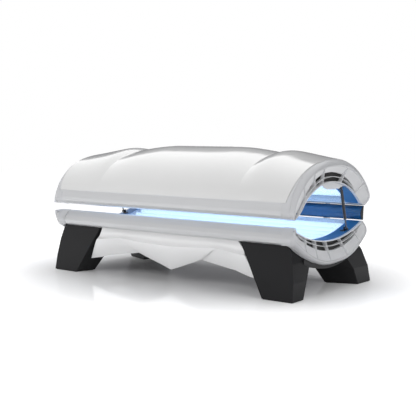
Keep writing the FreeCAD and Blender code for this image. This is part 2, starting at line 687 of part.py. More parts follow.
def make_half_inside(name, tunnel, acrylic, width, sign, bulkhead_x):
    """Acrylic sheet, end strips, lamps, lampholders and reflector of one half."""
    y0, y1 = width
    sheet = band(tunnel, 0.0, acrylic, y0 + CLEAR, y1 - CLEAR, sign, -ACRYLIC_HALF, ACRYLIC_HALF)
    save(name + "_acrylic", sheet)
    strip_front = y0 + CLEAR + (CANOPY_LIP_LAP if sign > 0 else 0.0)
    strip = band(tunnel, 0.0, acrylic, strip_front, y1 - CLEAR, sign, STRIP_START, STRIP_END)
    for word, side in SIDES:
        save(name + "_end_strip_" + word, sided(strip, side))
    holder_x = bulkhead_x - HOLDER_LENGTH
    tubes = []
    holders = []
    for centre, lean in lamp_places(tunnel, acrylic, y0, y1, sign):
        reach = holder_x - CLEAR
        section = Part.Face([polygon(centre, LAMP_R, LAMP_SIDES, -reach),
                             polygon(centre, LAMP_R - LAMP_WALL, LAMP_SIDES, -reach)])
        tubes.append(section.extrude(Vector(2 * reach, 0, 0)))
        holder = Part.makeBox(HOLDER_LENGTH, HOLDER_WIDTH, 2 * LAMP_R,
                              Vector(holder_x, -HOLDER_WIDTH / 2, -LAMP_R))
        holder.rotate(Vector(0, 0, 0), Vector(1, 0, 0), lean)
        holder.translate(point(centre))
        holders += both_ways(holder)
    save(name + "_lamps", *tubes)
    save(name + "_lampholders", *holders)
    depth = acrylic + REFLECTOR_DEPTH
    save(name + "_reflector", band(tunnel, depth, depth + REFLECTOR, y0 + RAIL_WALL, y1 - RAIL_WALL, sign,
                                   -bulkhead_x + CLEAR, bulkhead_x - CLEAR))


def make_canopy_bulkheads():
    """End frames of the canopy: carry the lampholders and tie the two rails and the shell."""
    x0, x1 = CANOPY_BULKHEAD_X, CANOPY_BULKHEAD_X + BULKHEAD
    edge = Part.BSplineCurve()
    points = [point(p) for p in inward(canopy_path(), SHELL_WALL + 1.0)]
    edge.interpolate(Points=points, Parameters=stations_of(points))
    plate = prism(Part.Wire([edge.toShape(), Part.makeLine(points[-1], points[0])]), x0, x1)
    plate = plate.cut([disc(grown(TUNNEL, CANOPY_ACRYLIC + CLEAR), x0 - 1, x1 + 1),
                       prism(rounded(canopy_front_corners()), x0 - 1, x1 + 1),
                       prism(rounded(canopy_rear_corners()), x0 - 1, x1 + 1)])
    save("canopy_bulkheads", *both_ways(largest(plate)))


def make_bed_bulkheads():
    """End frames of the bed, between the acrylic and the belly pan."""
    x0, x1 = BED_BULKHEAD_X, BED_BULKHEAD_X + BULKHEAD - CLEAR
    plate = disc(grown(BELLY, -PAN_WALL - CLEAR), x0, x1)
    plate = plate.common(block(x0, x1, BED_FRONT + PAN_WALL + CLEAR, BED_REAR + 60, BELLY_Z, BED_TOP_Z))
    plate = plate.cut([disc(grown(BED_ARC, BED_ACRYLIC + CLEAR), x0 - 1, x1 + 1),
                       prism(rounded(bed_front_corners()), x0 - 1, x1 + 1),
                       prism(rounded(bed_rear_corners()), x0 - 1, x1 + 1)])
    save("bed_bulkheads", *both_ways(largest(plate)))


# ---------------------------------------------------------------- beams, trays, ballasts

BED_BEAM_Z = DIP_Z - BED_ACRYLIC - REFLECTOR_DEPTH - REFLECTOR - BALLAST_GAP - BALLAST[2] - TRAY
CANOPY_BEAM_Z = TUNNEL_Z + CANOPY_ACRYLIC + REFLECTOR_DEPTH + REFLECTOR + CANOPY_BEAM_GAP


def make_carrier(name, beam_ys, z, reach, tray_reach, ballast_xs):
    """Two box beams from bulkhead to bulkhead, a tray across them, and the ballasts on it."""
    half = BEAM / 2
    bore = half - BEAM_WALL
    parts = []
    for y in beam_ys:
        beam = block(-reach, reach, y - half, y + half, z, z + BEAM)
        parts.append(beam.cut(block(-reach - 1, reach + 1, y - bore, y + bore, z + BEAM_WALL,
                                    z + BEAM - BEAM_WALL)))
    front, back = beam_ys[0] + half, beam_ys[1] - half
    parts.append(block(-tray_reach, tray_reach, front, back, z, z + TRAY))
    save(name + "_frame", *parts)
    length, width, height = BALLAST
    boxes = []
    for x in ballast_xs:
        for y in (0.75 * front + 0.25 * back, 0.25 * front + 0.75 * back):
            boxes.append(block(x - length / 2, x + length / 2, y - width / 2, y + width / 2,
                               z + TRAY, z + TRAY + height))
    save(name + "_ballasts", *boxes)


def make_carriers():
    bed_y = BED_BEAM_Y * BACK
    bed_xs = [(i - 1.5) * BED_BALLAST_PITCH for i in range(4)]
    make_carrier("bed", (-bed_y, bed_y), BED_BEAM_Z, BED_BULKHEAD_X - CLEAR, BED_TRAY_END, bed_xs)
    canopy_xs = [CANOPY_FAN[0] + x for x in CANOPY_BALLAST_FROM_FAN]
    make_carrier("canopy", CANOPY_BEAM_Y, CANOPY_BEAM_Z, CANOPY_BULKHEAD_X - CLEAR,
                 canopy_xs[-1] + BALLAST[0] / 2 + TRAY_MARGIN, canopy_xs)


# ---------------------------------------------------------------- fans

def fan_hub(x, y, z, height):
    """Many-sided hub, upright at x, y."""
    hub = Part.Face(polygon((0.0, 0.0), FAN_HUB_R, FAN_HUB_SIDES, 0.0)).extrude(Vector(height, 0, 0))
    hub.rotate(Vector(0, 0, 0), Vector(0, 1, 0), -90)
    hub.translate(Vector(x, y, z))
    return hub


def fan_housing(x, y, z):
    """Square fan frame with its bore, a three-arm spider and the spindle."""
    half = FAN_SIZE / 2
    frame = block(x - half, x + half, y - half, y + half, z, z + FAN_DEPTH)
    frame = frame.cut(Part.makeCylinder(FAN_BORE_R, FAN_DEPTH + 2, Vector(x, y, z - 1)))
    spider = [fan_hub(x, y, z, FAN_SPIDER),
              Part.makeCylinder(FAN_SPINDLE_R, FAN_DEPTH - 2 * FAN_INSET, Vector(x, y, z))]
    for i in range(3):
        arm = Part.makeBox(0.5 * (FAN_BORE_R + half), FAN_ARM, FAN_SPIDER, Vector(0, -FAN_ARM / 2, 0))
        arm.rotate(Vector(0, 0, 0), Vector(0, 0, 1), 90 + 120 * i)
        arm.translate(Vector(x, y, z))
        spider.append(arm)
    return frame.fuse(spider).removeSplitter()


def fan_rotor(x, y, z):
    """Hub with pitched blades, running on the spindle."""
    low = z + FAN_INSET
    high = z + FAN_DEPTH - FAN_INSET
    width, thick, pitch = FAN_BLADE
    root = FAN_HUB_R - 2 * thick
    length = FAN_BORE_R - FAN_TIP_PLAY - root
    hub = fan_hub(x, y, low, high - low)
    blades = []
    for i in range(FAN_BLADES):
        blade = Part.makeBox(length, thick, width, Vector(root, -thick / 2, -width / 2))
        blade.rotate(Vector(0, 0, 0), Vector(1, 0, 0), pitch)
        blade.rotate(Vector(0, 0, 0), Vector(0, 0, 1), 360.0 * i / FAN_BLADES)
        blade.translate(Vector(x, y, 0.5 * (low + high)))
        blades.append(blade)
    bore = Part.makeCylinder(FAN_SPINDLE_R + PIN_PLAY, high - low - FAN_SPIDER, Vector(x, y, low))
    return hub.fuse(blades).cut(bore).removeSplitter()


BED_FAN_Y = BELLY[0][0]
BED_FAN_Z = circle_z(BELLY, BED_FAN_Y + FAN_SIZE / 2, -1) + PAN_WALL + CLEAR


def make_fans():
    save("bed_fan_housings", *[fan_housing(side * FAN_X, BED_FAN_Y, BED_FAN_Z) for _, side in SIDES])
    for word, side in SIDES:
        save("bed_fan_rotor_" + word, fan_rotor(side * FAN_X, BED_FAN_Y, BED_FAN_Z))
    z = CANOPY_FAN_TOP - FAN_DEPTH
    save("canopy_fan_duct", fan_duct())
    save("canopy_fan_housing", fan_housing(*CANOPY_FAN, z))
    save("canopy_fan_rotor", fan_rotor(*CANOPY_FAN, z))


# ---------------------------------------------------------------- belly pan, apron, legs

GLAND_X = GLAND_FROM_END - HALF
GLAND_Y = BELLY[0][0]


def make_bed_pan():
    """Curved sheet that closes the belly, with intake slots under the fans."""
    x = BED_END - CLEAR
    pan = band(BELLY, -PAN_WALL, 0.0, BED_FRONT, BACK, -1, -x, x)
    pan = pan.common(block(-x, x, BED_FRONT, BACK, 0.0, BED_RAIL_Z - CLEAR))
    wall = block(-x, x, BED_FRONT, BED_FRONT + PAN_WALL, circle_z(BELLY, BED_FRONT, -1) + 1,
                 BED_RAIL_Z - CLEAR)
    cutters = [Part.makeCylinder(GLAND_HOLE_R, 4 * PAN_WALL, Vector(GLAND_X, GLAND_Y, BELLY_Z - PAN_WALL))]
    pitch = 2 * FAN_BORE_R / INTAKE_SLOTS
    for _, side in SIDES:
        for i in range(INTAKE_SLOTS):
            y = BED_FAN_Y - FAN_BORE_R + (i + 0.5) * pitch
            reach = math.sqrt(FAN_BORE_R ** 2 - (y - BED_FAN_Y) ** 2) - INTAKE_MARGIN
            cutters.append(block(side * FAN_X - reach, side * FAN_X + reach, y - pitch / 4, y + pitch / 4,
                                 BELLY_Z - PAN_WALL, BED_FAN_Z + PAN_WALL))
    save("bed_pan", pan.fuse(wall).cut(cutters).removeSplitter())


def make_cable_gland():
    """Gland under the belly where the mains lead would enter."""
    top = BELLY_Z - CLEAR
    corners = []
    for i in range(7):
        turn = math.radians(60 * i)
        corners.append(Vector(GLAND_X + GLAND_NUT * math.cos(turn), GLAND_Y + GLAND_NUT * math.sin(turn),
                              top - GLAND_NUT_HEIGHT))
    nut = Part.Face(Part.makePolygon(corners)).extrude(Vector(0, 0, GLAND_NUT_HEIGHT))
    body = nut.fuse(Part.makeCylinder(GLAND_R, GLAND_LENGTH, Vector(GLAND_X, GLAND_Y, top - GLAND_LENGTH)))
    bore = Part.makeCylinder(GLAND_BORE_R, GLAND_LENGTH, Vector(GLAND_X, GLAND_Y, top - GLAND_LENGTH))
    save("cable_gland", body.cut(bore))


# Legs from floor to rail: share of the height, then distances in from the bed's end (x) and
# from its middle (y) of the four corners: front outer, front inner, back inner, back outer.
FRONT_LEG = (
    (0.00, (3, 0), (229, 0), (270, 153), (7, 131)),
    (0.33, (9, 18), (297, 18), (334, 200), (13, 180)),
    (0.67, (29, 36), (366, 36), (400, 268), (32, 250)),
    (1.00, (LEG_TOP_SET_IN, 54), (435, 54), (466, 330), (67, 340)),
)
BACK_LEG = (
    (0.00, (3, 0), (229, 0), (219, 254), (6, 170)),
    (0.33, (9, 29), (297, 29), (288, 288), (12, 228)),
    (0.67, (29, 85), (366, 85), (357, 380), (32, 333)),
    (1.00, (64, 173), (435, 173), (426, 523), (67, 413)),
)
LEG_TOP_Z = BED_RAIL_Z - CLEAR
SADDLE_Y = (-0.34, 0.24)        # from front to back leg, as shares of the depth
SADDLE_X = (BED_END + 20.0, HALF - 25.0)


def leg_corner(table, row, corner, direction):
    """One corner of a leg's section as a point; direction is -1 at the front and 1 at the back."""
    share = table[row][0]
    from_end, from_edge = table[row][1 + corner]
    z = PAD_THICK + share * (LEG_TOP_Z - PAD_THICK)
    return Vector(HALF - from_end, direction * (BACK - from_edge), z)


def make_leg(table, direction, bed_outer):
    """Tapering leg, hollowed at its top to the belly's curve."""
    wires = []
    for row in range(len(table)):
        corners = [leg_corner(table, row, corner, direction) for corner in range(4)]
        wires.append(Part.makePolygon(corners + corners[:1]))
    leg = Part.makeLoft(wires, True, True)
    belly = disc(grown(BELLY, CLEAR), 0.0, BED_END)
    keep_front = block(0.0, BED_END, FRONT, BED_FRONT - CLEAR, 0.0, 2 * BED_RAIL_Z)
    return largest(leg.cut([belly.cut(keep_front), bed_outer]))


def make_pad(table, direction):
    """Rubber foot pad, a little smaller than the leg's sole."""
    corners = [leg_corner(table, 0, corner, direction) for corner in range(4)]
    wire = Part.makePolygon(corners + corners[:1]).makeOffset2D(-PAD_INSET)
    pad = Part.Face(wire)
    pad.translate(Vector(0, 0, -PAD_THICK))
    return pad.extrude(Vector(0, 0, PAD_THICK))


def make_legs(bed_outer):
    legs = {"front": make_leg(FRONT_LEG, -1, bed_outer), "back": make_leg(BACK_LEG, 1, bed_outer)}
    pads = []
    for place, table, direction in (("front", FRONT_LEG, -1), ("back", BACK_LEG, 1)):
        pads += both_ways(make_pad(table, direction))
        for word, side in SIDES:
            save("leg_" + place + "_" + word, sided(legs[place], side))
    save("foot_pads", *pads)
    saddle = band(BELLY, CLEAR, SADDLE, SADDLE_Y[0] * DEPTH, SADDLE_Y[1] * DEPTH, -1, *SADDLE_X)
    saddle = saddle.cut([legs["front"], legs["back"], bed_outer])
    save("leg_saddles", *both_ways(largest(saddle)))


# Apron from its middle to a front leg: share of that way, height of the lower edge as a share
# of the belly's, drop of the crease below the rail, set-back of the lower edge from the front.
APRON_ROWS = (
    (0.000, 0.468, 84.0, 112.0),
    (0.100, 0.600, 80.7, 107.0),
    (0.195, 0.724, 77.5, 101.0),
    (0.290, 0.842, 70.0, 94.0),
    (0.390, 0.968, 65.0, 86.0),
    (0.460, 0.926, 68.0, 97.0),
    (0.550, 0.871, 71.6, 100.0),
    (0.650, 0.816, 75.7, 98.0),
    (0.770, 0.753, 80.6, 94.0),
    (0.880, 0.632, 85.0, 88.0),
    (1.000, 0.537, 90.0, 82.0),
)
APRON_FOLD_ROW = 4              # row where the middle shield folds over the sides
APRON_LEAN = 182.0              # how far the fold leans outwards on its way up
APRON_TOP_Y = 48.5              # set-back of the apron at the rail and at its crease
APRON_CREASE_Y = 60.0
APRON_BULGE = 1.6
APRON_GAP = 4.0                 # apron to leg
APRON_ON_LEG = 0.45             # where on the leg's inner face that gap is measured


def between(table, x):
    """Straight-line reading of a table of (x, value)."""
    for (x0, a), (x1, b) in zip(table, table[1:]):
        if x <= x1:
            return a + (b - a) * (x - x0) / (x1 - x0)
    return table[-1][1]


def leg_inner_x(z):
    """Inner face of a front leg at the apron's depth."""
    share = (z - PAD_THICK) / (LEG_TOP_Z - PAD_THICK)
    front = between([(row[0], row[2][0]) for row in FRONT_LEG], share)
    back = between([(row[0], row[3][0]) for row in FRONT_LEG], share)
    return HALF - (1 - APRON_ON_LEG) * front - APRON_ON_LEG * back


def apron_row(share, edge, drop, edge_y):
    """One row of the apron, from the rail over its crease to its lower edge."""
    top = BED_RAIL_Z - CLEAR
    crease = top - drop
    fold = APRON_ROWS[APRON_FOLD_ROW][0]
    lean = APRON_LEAN * min(share / fold, (1 - share) / (1 - fold))
    places = [(top, APRON_TOP_Y, lean),
              (0.5 * (top + crease), 0.5 * (APRON_TOP_Y + APRON_CREASE_Y), lean),
              (crease, APRON_CREASE_Y, lean)]
    for down in (0.25, 0.5, 0.75, 1.0):
        places.append((crease + (edge * LEG_HEIGHT - crease) * down,
                       APRON_CREASE_Y + (edge_y - APRON_CREASE_Y) * down ** APRON_BULGE, lean * (1 - down)))
    return [Vector(share * (leg_inner_x(z) - APRON_GAP) + aside, FRONT + y, z) for z, y, aside in places]


def make_apron():
    """White skirt between the front legs: a middle shield folded over two side panels."""
    half = [apron_row(*row) for row in APRON_ROWS]
    outer = [[Vector(-p.x, p.y, p.z) for p in row] for row in reversed(half[1:])] + half
    inner = [[p + Vector(0, APRON_WALL, 0) for p in row] for row in outer]
    middle = len(half) - 1
    save("bed_apron", skinned_wall(outer, inner, (middle - APRON_FOLD_ROW, middle + APRON_FOLD_ROW)))


# ---------------------------------------------------------------- hinges and their cover

# Seats of a hinge on its two rails: the bed's as (y, z) steps from two corners of the rail,
# the canopy's as (y, z) from the axis.  Both reach a little way in, and the rail cuts them off.
BED_SEAT_STEPS = ((1.5, -5.0), (7.5, -13.0))
CANOPY_SEAT = ((-17.0, 76.0), (26.0, 96.0))
CANOPY_FOOT = (-22.0, 63.0)     # front edge of the canopy's foot, from the axis


def hinge_point(dy, dz):
    return HINGE[0] + dy, HINGE[1] + dz


def hub_plate(seat, bulge, x0, x1):
    """Plate round the hinge axis, widening to the two points of its seat."""
    a, b = point(seat[0]), point(seat[1])
    right, left = point(hinge_point(HUB_R, 0)), point(hinge_point(-HUB_R, 0))
    tip = point(hinge_point(0, bulge * HUB_R))
    wire = Part.Wire([Part.makeLine(a, b), Part.makeLine(b, right), Part.Arc(right, tip, left).toShape(),
                      Part.makeLine(left, a)])
    return prism(wire, x0, x1)


def foot_plate(a, b, away, x0, x1):
    """Flat foot along a rail from a to b, standing off it by its thickness."""
    (ay, az), (by, bz) = a, b
    length = math.hypot(by - ay, bz - az)
    ny, nz = -(bz - az) / length * away * FOOT_THICK, (by - ay) / length * away * FOOT_THICK
    corners = [Vector(0, ay, az), Vector(0, by, bz), Vector(0, by + ny, bz + nz), Vector(0, ay + ny, az + nz)]
    return prism(Part.makePolygon(corners + corners[:1]), x0, x1)


def make_hinges():
    bed_rail = prism(rounded(bed_rear_corners()), -BED_END, BED_END)
    canopy_rail = prism(rounded(canopy_rear_corners()), -CANOPY_END, CANOPY_END)
    axis = (HINGE, HINGE_PIN_R)
    near_ear = TONGUE / 2 + EAR_GAP
    tab_z = (HINGE[1] - COVER_TAB / 2, HINGE[1] + COVER_TAB / 2)
    bed_seat = [(y + dy, z + dz) for (y, z), (dy, dz) in zip((BED_TAIL[3], BED_TAIL[2]), BED_SEAT_STEPS)]
    canopy_seat = [hinge_point(*place) for place in CANOPY_SEAT]
    brackets = []
    pins = []
    arms = []
    for x in (-HINGE_X, 0.0, HINGE_X):
        span = (x - FOOT_HALF, x + FOOT_HALF)
        ears = []
        for x0, x1 in ((x - near_ear - EAR, x - near_ear), (x + near_ear, x + near_ear + EAR)):
            tab = block(x0, x1, HINGE[0] - COVER_R, HINGE[0], *tab_z)
            ears += [hub_plate(bed_seat, 1, x0, x1),
                     tab.common(disc((HINGE, COVER_R - COVER_WALL - CLEAR), x0, x1))]
        foot = foot_plate(BED_TAIL[3], BED_TAIL[2], -1, *span)
        brackets.append(largest(foot.fuse(ears).cut([bed_rail, disc(axis, *span)]).removeSplitter()))
        reach = near_ear + EAR + HINGE_PIN_HEAD
        pins.append(disc(axis, x - reach, x + reach))
        arm = hub_plate(canopy_seat, -1, x - TONGUE / 2, x + TONGUE / 2)
        foot = foot_plate(hinge_point(*CANOPY_FOOT), CANOPY_HEEL[1], -1, *span)
        bore = disc((HINGE, HINGE_PIN_R + PIN_PLAY), *span)
        arms.append(largest(arm.fuse(foot).cut([canopy_rail, bore]).removeSplitter()))
    save("hinge_brackets", *brackets)
    save("hinge_pins", *pins)
    save("hinge_arms", *arms)


def make_hinge_cover():
    """Curved cover along the hinges, in one length for each of them."""
    sector = [point(HINGE)]
    for share in (0.0, 0.33, 0.67, 1.0):
        turn = math.radians(COVER_ARC[0] + share * (COVER_ARC[1] - COVER_ARC[0]))
        sector.append(point(hinge_point(2 * COVER_R * math.cos(turn), 2 * COVER_R * math.sin(turn))))
    sector = prism(Part.makePolygon(sector + sector[:1]), -COVER_HALF, COVER_HALF)
    length = 2 * COVER_HALF / 3
    lengths = []
    for i in range(3):
        start = -COVER_HALF + i * length
        stop = start + length - SEAM
        sheet = disc((HINGE, COVER_R), start, stop)
        sheet = sheet.cut(disc((HINGE, COVER_R - COVER_WALL), start - 1, stop + 1))
        lengths.append(sheet.common(sector))
    save("hinge_cover", *lengths)


# ---------------------------------------------------------------- gas struts

STRUT_LOW_Y = HINGE[0] - STRUT_LOW_AT[0]
STRUT_HIGH_Y = HINGE[0] - STRUT_HIGH_AT[0]
STRUT_LOW = (STRUT_LOW_Y, circle_z(BED_ARC, STRUT_LOW_Y, -1) + STRUT_LOW_AT[1])
STRUT_HIGH = (STRUT_HIGH_Y, circle_z(TUNNEL, STRUT_HIGH_Y, 1) - STRUT_HIGH_AT[1])
STRUT_LENGTH = math.hypot(STRUT_HIGH[0] - STRUT_LOW[0], STRUT_HIGH[1] - STRUT_LOW[1])
STRUT_LEAN = math.degrees(math.atan2(STRUT_LOW[0] - STRUT_HIGH[0], STRUT_HIGH[1] - STRUT_LOW[1]))


def set_strut(solid):
    """Lean a strut piece, built upright on the origin, and put it on its lower pivot."""
    solid.rotate(Vector(0, 0, 0), Vector(1, 0, 0), STRUT_LEAN)
    solid.translate(Vector(0, STRUT_LOW[0], STRUT_LOW[1]))
    return solid


def make_strut():
    """Rod on its lower eye, and the tube with its upper eye that slides on the rod."""
    half = STRUT_EYE / 2
    eye = disc(((0, 0), STRUT_EYE_R), STRUT_X - half, STRUT_X + half)
    top = STRUT_LENGTH - 2 * STRUT_EYE_R
    low = top - STRUT_TUBE_LENGTH
    rod = Part.makeCylinder(STRUT_ROD_R, top - 2.5 * STRUT_TUBE_END, Vector(STRUT_X, 0, STRUT_EYE_R - 3))
    hole = disc(((0, 0), STUD_R + PIN_PLAY), STRUT_X - half - 1, STRUT_X + half + 1)
    rod = set_strut(eye.fuse(rod).cut(hole).removeSplitter())
    tube = Part.makeCylinder(STRUT_TUBE_R, STRUT_TUBE_LENGTH, Vector(STRUT_X, 0, low))
    bore = Part.makeCylinder(STRUT_ROD_R + CLEAR, STRUT_TUBE_LENGTH - STRUT_TUBE_END, Vector(STRUT_X, 0, low))
    neck = Part.makeCylinder(STRUT_ROD_R + 1, 2 * STRUT_EYE_R - 4, Vector(STRUT_X, 0, top - 1))
    eye.translate(Vector(0, 0, STRUT_LENGTH))
    tube = set_strut(tube.cut(bore).fuse([neck, eye]).removeSplitter())
    return rod, tube


def make_stud(pivot, tunnel, sign, headed):
    """Stand on a tunnel's surface with a boss against the strut's eye, and a headed stud through it."""
    y, z = pivot
    near = STRUT_X - STRUT_EYE / 2 - STUD_GAP
    far = STRUT_X + STRUT_EYE / 2 + STUD_GAP
    head_r, head = STUD_HEAD
    plate_x = near - head + STUD_GAP
    surface = circle_z(tunnel, y, sign)
    over = surface + sign * 2 * STUD_FOOT_THICK
    width = (y - STUD_PLATE_WIDTH / 2, y + STUD_PLATE_WIDTH / 2)
    plate = block(plate_x - STUD_PLATE, plate_x, *width, *sorted((z - sign * STUD_PLATE_WIDTH / 2, over)))
    foot = block(near - STUD_FOOT, plate_x, *width, *sorted((surface - sign * STUD_FOOT_THICK, over)))
    pieces = [foot, disc((pivot, head_r), plate_x - 1, near)]
    if headed:
        pieces += [disc((pivot, STUD_R), near - 1, far + 1), disc((pivot, head_r), far, far + head)]
    return plate.fuse(pieces).common(disc(tunnel, near - 2 * STUD_FOOT, HALF)).removeSplitter()


def make_struts():
    rod, tube = make_strut()
    for word, side in SIDES:
        save("strut_rod_" + word, sided(rod, side))
        save("strut_tube_" + word, sided(tube, side))
    save("strut_studs_bed", *both_ways(make_stud(STRUT_LOW, BED_ARC, -1, True)))
    save("strut_studs_canopy", *both_ways(make_stud(STRUT_HIGH, TUNNEL, 1, False)))


# ---------------------------------------------------------------- controls

PANEL_X = (PANEL_SET_IN - HALF, PANEL_SET_IN - HALF + PANEL_LENGTH)


def button_frame(y):
    """Place and outward direction of a button at y on the tunnel's roof."""
    z = circle_z(TUNNEL, y, 1)
    (cy, cz), radius = TUNNEL
    return Vector(0.5 * sum(PANEL_X), y, z), Vector(0, (y - cy) / radius, (z - cz) / radius)


def make_controls():
    """Curved control panel under the left end of the canopy, with two push buttons."""
    panel = band(TUNNEL, -PANEL_THICK, -CLEAR, *PANEL_Y, 1, *PANEL_X)
    for name, y in BUTTON_YS:
        place, out = button_frame(y)
        low = place - out * (PANEL_THICK + BUTTON_PROUD)
        length = PANEL_THICK + BUTTON_PROUD - CLEAR - BUTTON_TRAVEL - CLEAR
        save(name, Part.makeCylinder(BUTTON_R, length, low, out))
        hole = Part.makeCylinder(BUTTON_R + CLEAR, 4 * PANEL_THICK, place - out * 2 * PANEL_THICK, out)
        panel = panel.cut(hole)
    save("control_panel", panel)


# ---------------------------------------------------------------- build

make_canopy_shell()
make_canopy_vent()
make_canopy_rails()
make_bed_rails()
housing = make_ends()
make_half_inside("canopy", TUNNEL, CANOPY_ACRYLIC, (TUNNEL_FRONT, TUNNEL_REAR), 1, CANOPY_BULKHEAD_X)
make_half_inside("bed", BED_ARC, BED_ACRYLIC, (BED_FRONT, BED_REAR), -1, BED_BULKHEAD_X)
make_canopy_bulkheads()
make_bed_bulkheads()
make_carriers()
make_fans()
make_bed_pan()
make_cable_gland()
make_apron()
make_legs(housing)
make_hinges()
make_hinge_cover()
make_struts()
make_controls()
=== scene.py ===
import bmesh
import bpy
import json
import math
import numpy as np
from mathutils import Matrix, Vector


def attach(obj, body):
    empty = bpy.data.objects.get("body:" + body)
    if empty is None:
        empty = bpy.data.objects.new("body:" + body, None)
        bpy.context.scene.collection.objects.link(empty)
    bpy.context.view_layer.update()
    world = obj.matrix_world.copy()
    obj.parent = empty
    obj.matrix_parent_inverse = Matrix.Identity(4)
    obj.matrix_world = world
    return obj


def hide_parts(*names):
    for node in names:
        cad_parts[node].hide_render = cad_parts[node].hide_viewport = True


# Clamshell tanning bed: finishes, and the large curved covers as fine meshes.
# The scene is in metres, +X along the bed to its right end, +Y to the back, +Z up.
# The covers are described in millimetres, which add_piece turns into metres.

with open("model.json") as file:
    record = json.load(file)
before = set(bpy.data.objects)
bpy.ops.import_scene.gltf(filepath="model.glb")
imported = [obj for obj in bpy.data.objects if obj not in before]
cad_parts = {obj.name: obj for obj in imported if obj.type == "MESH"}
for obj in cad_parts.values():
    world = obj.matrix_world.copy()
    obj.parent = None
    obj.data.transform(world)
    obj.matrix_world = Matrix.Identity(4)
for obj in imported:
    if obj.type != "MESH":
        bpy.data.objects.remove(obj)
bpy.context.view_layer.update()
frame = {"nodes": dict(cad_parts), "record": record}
SIDES = (("left", -1.0), ("right", 1.0))
WHITE = (1.0, 1.0, 1.0)


# ---------------------------------------------------------------- camera, light, floor

CAMERA_PLACE = (3.780, -4.795, 1.040)
CAMERA_LOOK = (-0.6148, 0.7833, -0.0899)
CAMERA_LENS = 73.24
CAMERA_SENSOR = 36.0

# Softbox that the gloss shows: its direction, and two ranges of the cosine between that and a
# reflected ray. Over the first the softbox begins, over the second its strength changes as given.
SOFTBOX_SIDE = (0.0, -0.618, 0.786)
SOFTBOX_EDGE = (-0.05, 0.02)
SOFTBOX_FADE = (0.05, 0.8)
SOFTBOX_STRENGTH = (1.4, 0.6)
ROOM_GREY = (0.16, 0.16, 0.17)
WORLD_COLOUR = (0.97, 0.98, 1.0)
WORLD_LIGHT = 0.34

FLOOR_HALF = 14.0
FLOOR_COLOUR = (0.93, 0.93, 0.935)
FLOOR_ROUGHNESS = 0.07
# Glow of the floor: how x, y and z count in the distance from its middle, the distances at which
# the glow starts and is full, and its full strength. Nearer than its start the floor does not glow,
# which paints shade on the floor around and under the object.
GLOW_SCALE = (0.9, 1.0, 0.0)
PAINTED_SHADE_REACH = (0.6, 1.85)
GLOW_STRENGTH = 0.82

# Name, place, target, size and power of each lamp.
LIGHTS = (
    ("key_front", (-0.6, -3.6, 2.3), (0.0, 0.0, 0.62), (4.6, 1.5), 70.0),
    ("fill_right", (4.4, -0.8, 2.0), (0.4, 0.0, 0.5), (2.4, 1.8), 36.0),
    ("top_soft", (0.0, 0.6, 4.2), (0.0, 0.0, 0.6), (4.0, 2.6), 70.0),
)


def placed(name, data):
    """New object of the scene."""
    made = bpy.data.objects.new(name, data)
    bpy.context.collection.objects.link(made)
    return made


def facing(direction):
    """Rotation of a camera or lamp that looks in a direction."""
    return Vector(direction).to_track_quat("-Z", "Y").to_euler()


def make_camera():
    data = bpy.data.cameras.new("camera")
    data.lens = CAMERA_LENS
    data.sensor_width = CAMERA_SENSOR
    camera = placed("camera", data)
    camera.location = CAMERA_PLACE
    camera.rotation_euler = facing(CAMERA_LOOK)
    bpy.context.scene.camera = camera
    bpy.context.scene.view_settings.view_transform = "Standard"


def map_range(tree, value, given, result):
    """The value, taken from one range to another."""
    made = tree.nodes.new("ShaderNodeMapRange")
    made.inputs["From Min"].default_value, made.inputs["From Max"].default_value = given
    made.inputs["To Min"].default_value, made.inputs["To Max"].default_value = result
    tree.links.new(value, made.inputs["Value"])
    return made.outputs["Result"]


def maths(tree, operation, first, second):
    made = tree.nodes.new("ShaderNodeMath")
    made.operation = operation
    tree.links.new(first, made.inputs[0])
    tree.links.new(second, made.inputs[1])
    return made.outputs[0]


def background(tree, colour, strength):
    made = tree.nodes.new("ShaderNodeBackground")
    made.inputs["Color"].default_value = (*colour, 1.0)
    made.inputs["Strength"].default_value = strength
    return made.outputs[0]


def mixed(tree, factor, low, high):
    made = tree.nodes.new("ShaderNodeMixShader")
    tree.links.new(factor, made.inputs[0])
    tree.links.new(low, made.inputs[1])
    tree.links.new(high, made.inputs[2])
    return made.outputs[0]


def make_world():
    """White behind the object; in its gloss a softbox above the front and a grey room behind."""
    world = bpy.data.worlds.new("studio")
    bpy.context.scene.world = world
    world.use_nodes = True
    tree = world.node_tree
    tree.nodes.clear()
    place = tree.nodes.new("ShaderNodeTexCoord")
    side = tree.nodes.new("ShaderNodeVectorMath")
    side.operation = "DOT_PRODUCT"
    side.inputs[1].default_value = SOFTBOX_SIDE
    tree.links.new(place.outputs["Generated"], side.inputs[0])
    edge = map_range(tree, side.outputs["Value"], SOFTBOX_EDGE, (0.0, 1.0))
    fade = map_range(tree, side.outputs["Value"], SOFTBOX_FADE, SOFTBOX_STRENGTH)
    softbox = background(tree, WHITE, 1.0)
    tree.links.new(fade, softbox.node.inputs["Strength"])
    gloss = mixed(tree, edge, background(tree, ROOM_GREY, 1.0), softbox)
    path = tree.nodes.new("ShaderNodeLightPath")
    seen = mixed(tree, path.outputs["Is Glossy Ray"],
                 background(tree, WORLD_COLOUR, WORLD_LIGHT), gloss)
    for ray in ("Is Transmission Ray", "Is Camera Ray"):
        seen = mixed(tree, path.outputs[ray], seen, background(tree, WHITE, 1.0))
    tree.links.new(seen, tree.nodes.new("ShaderNodeOutputWorld").inputs[0])


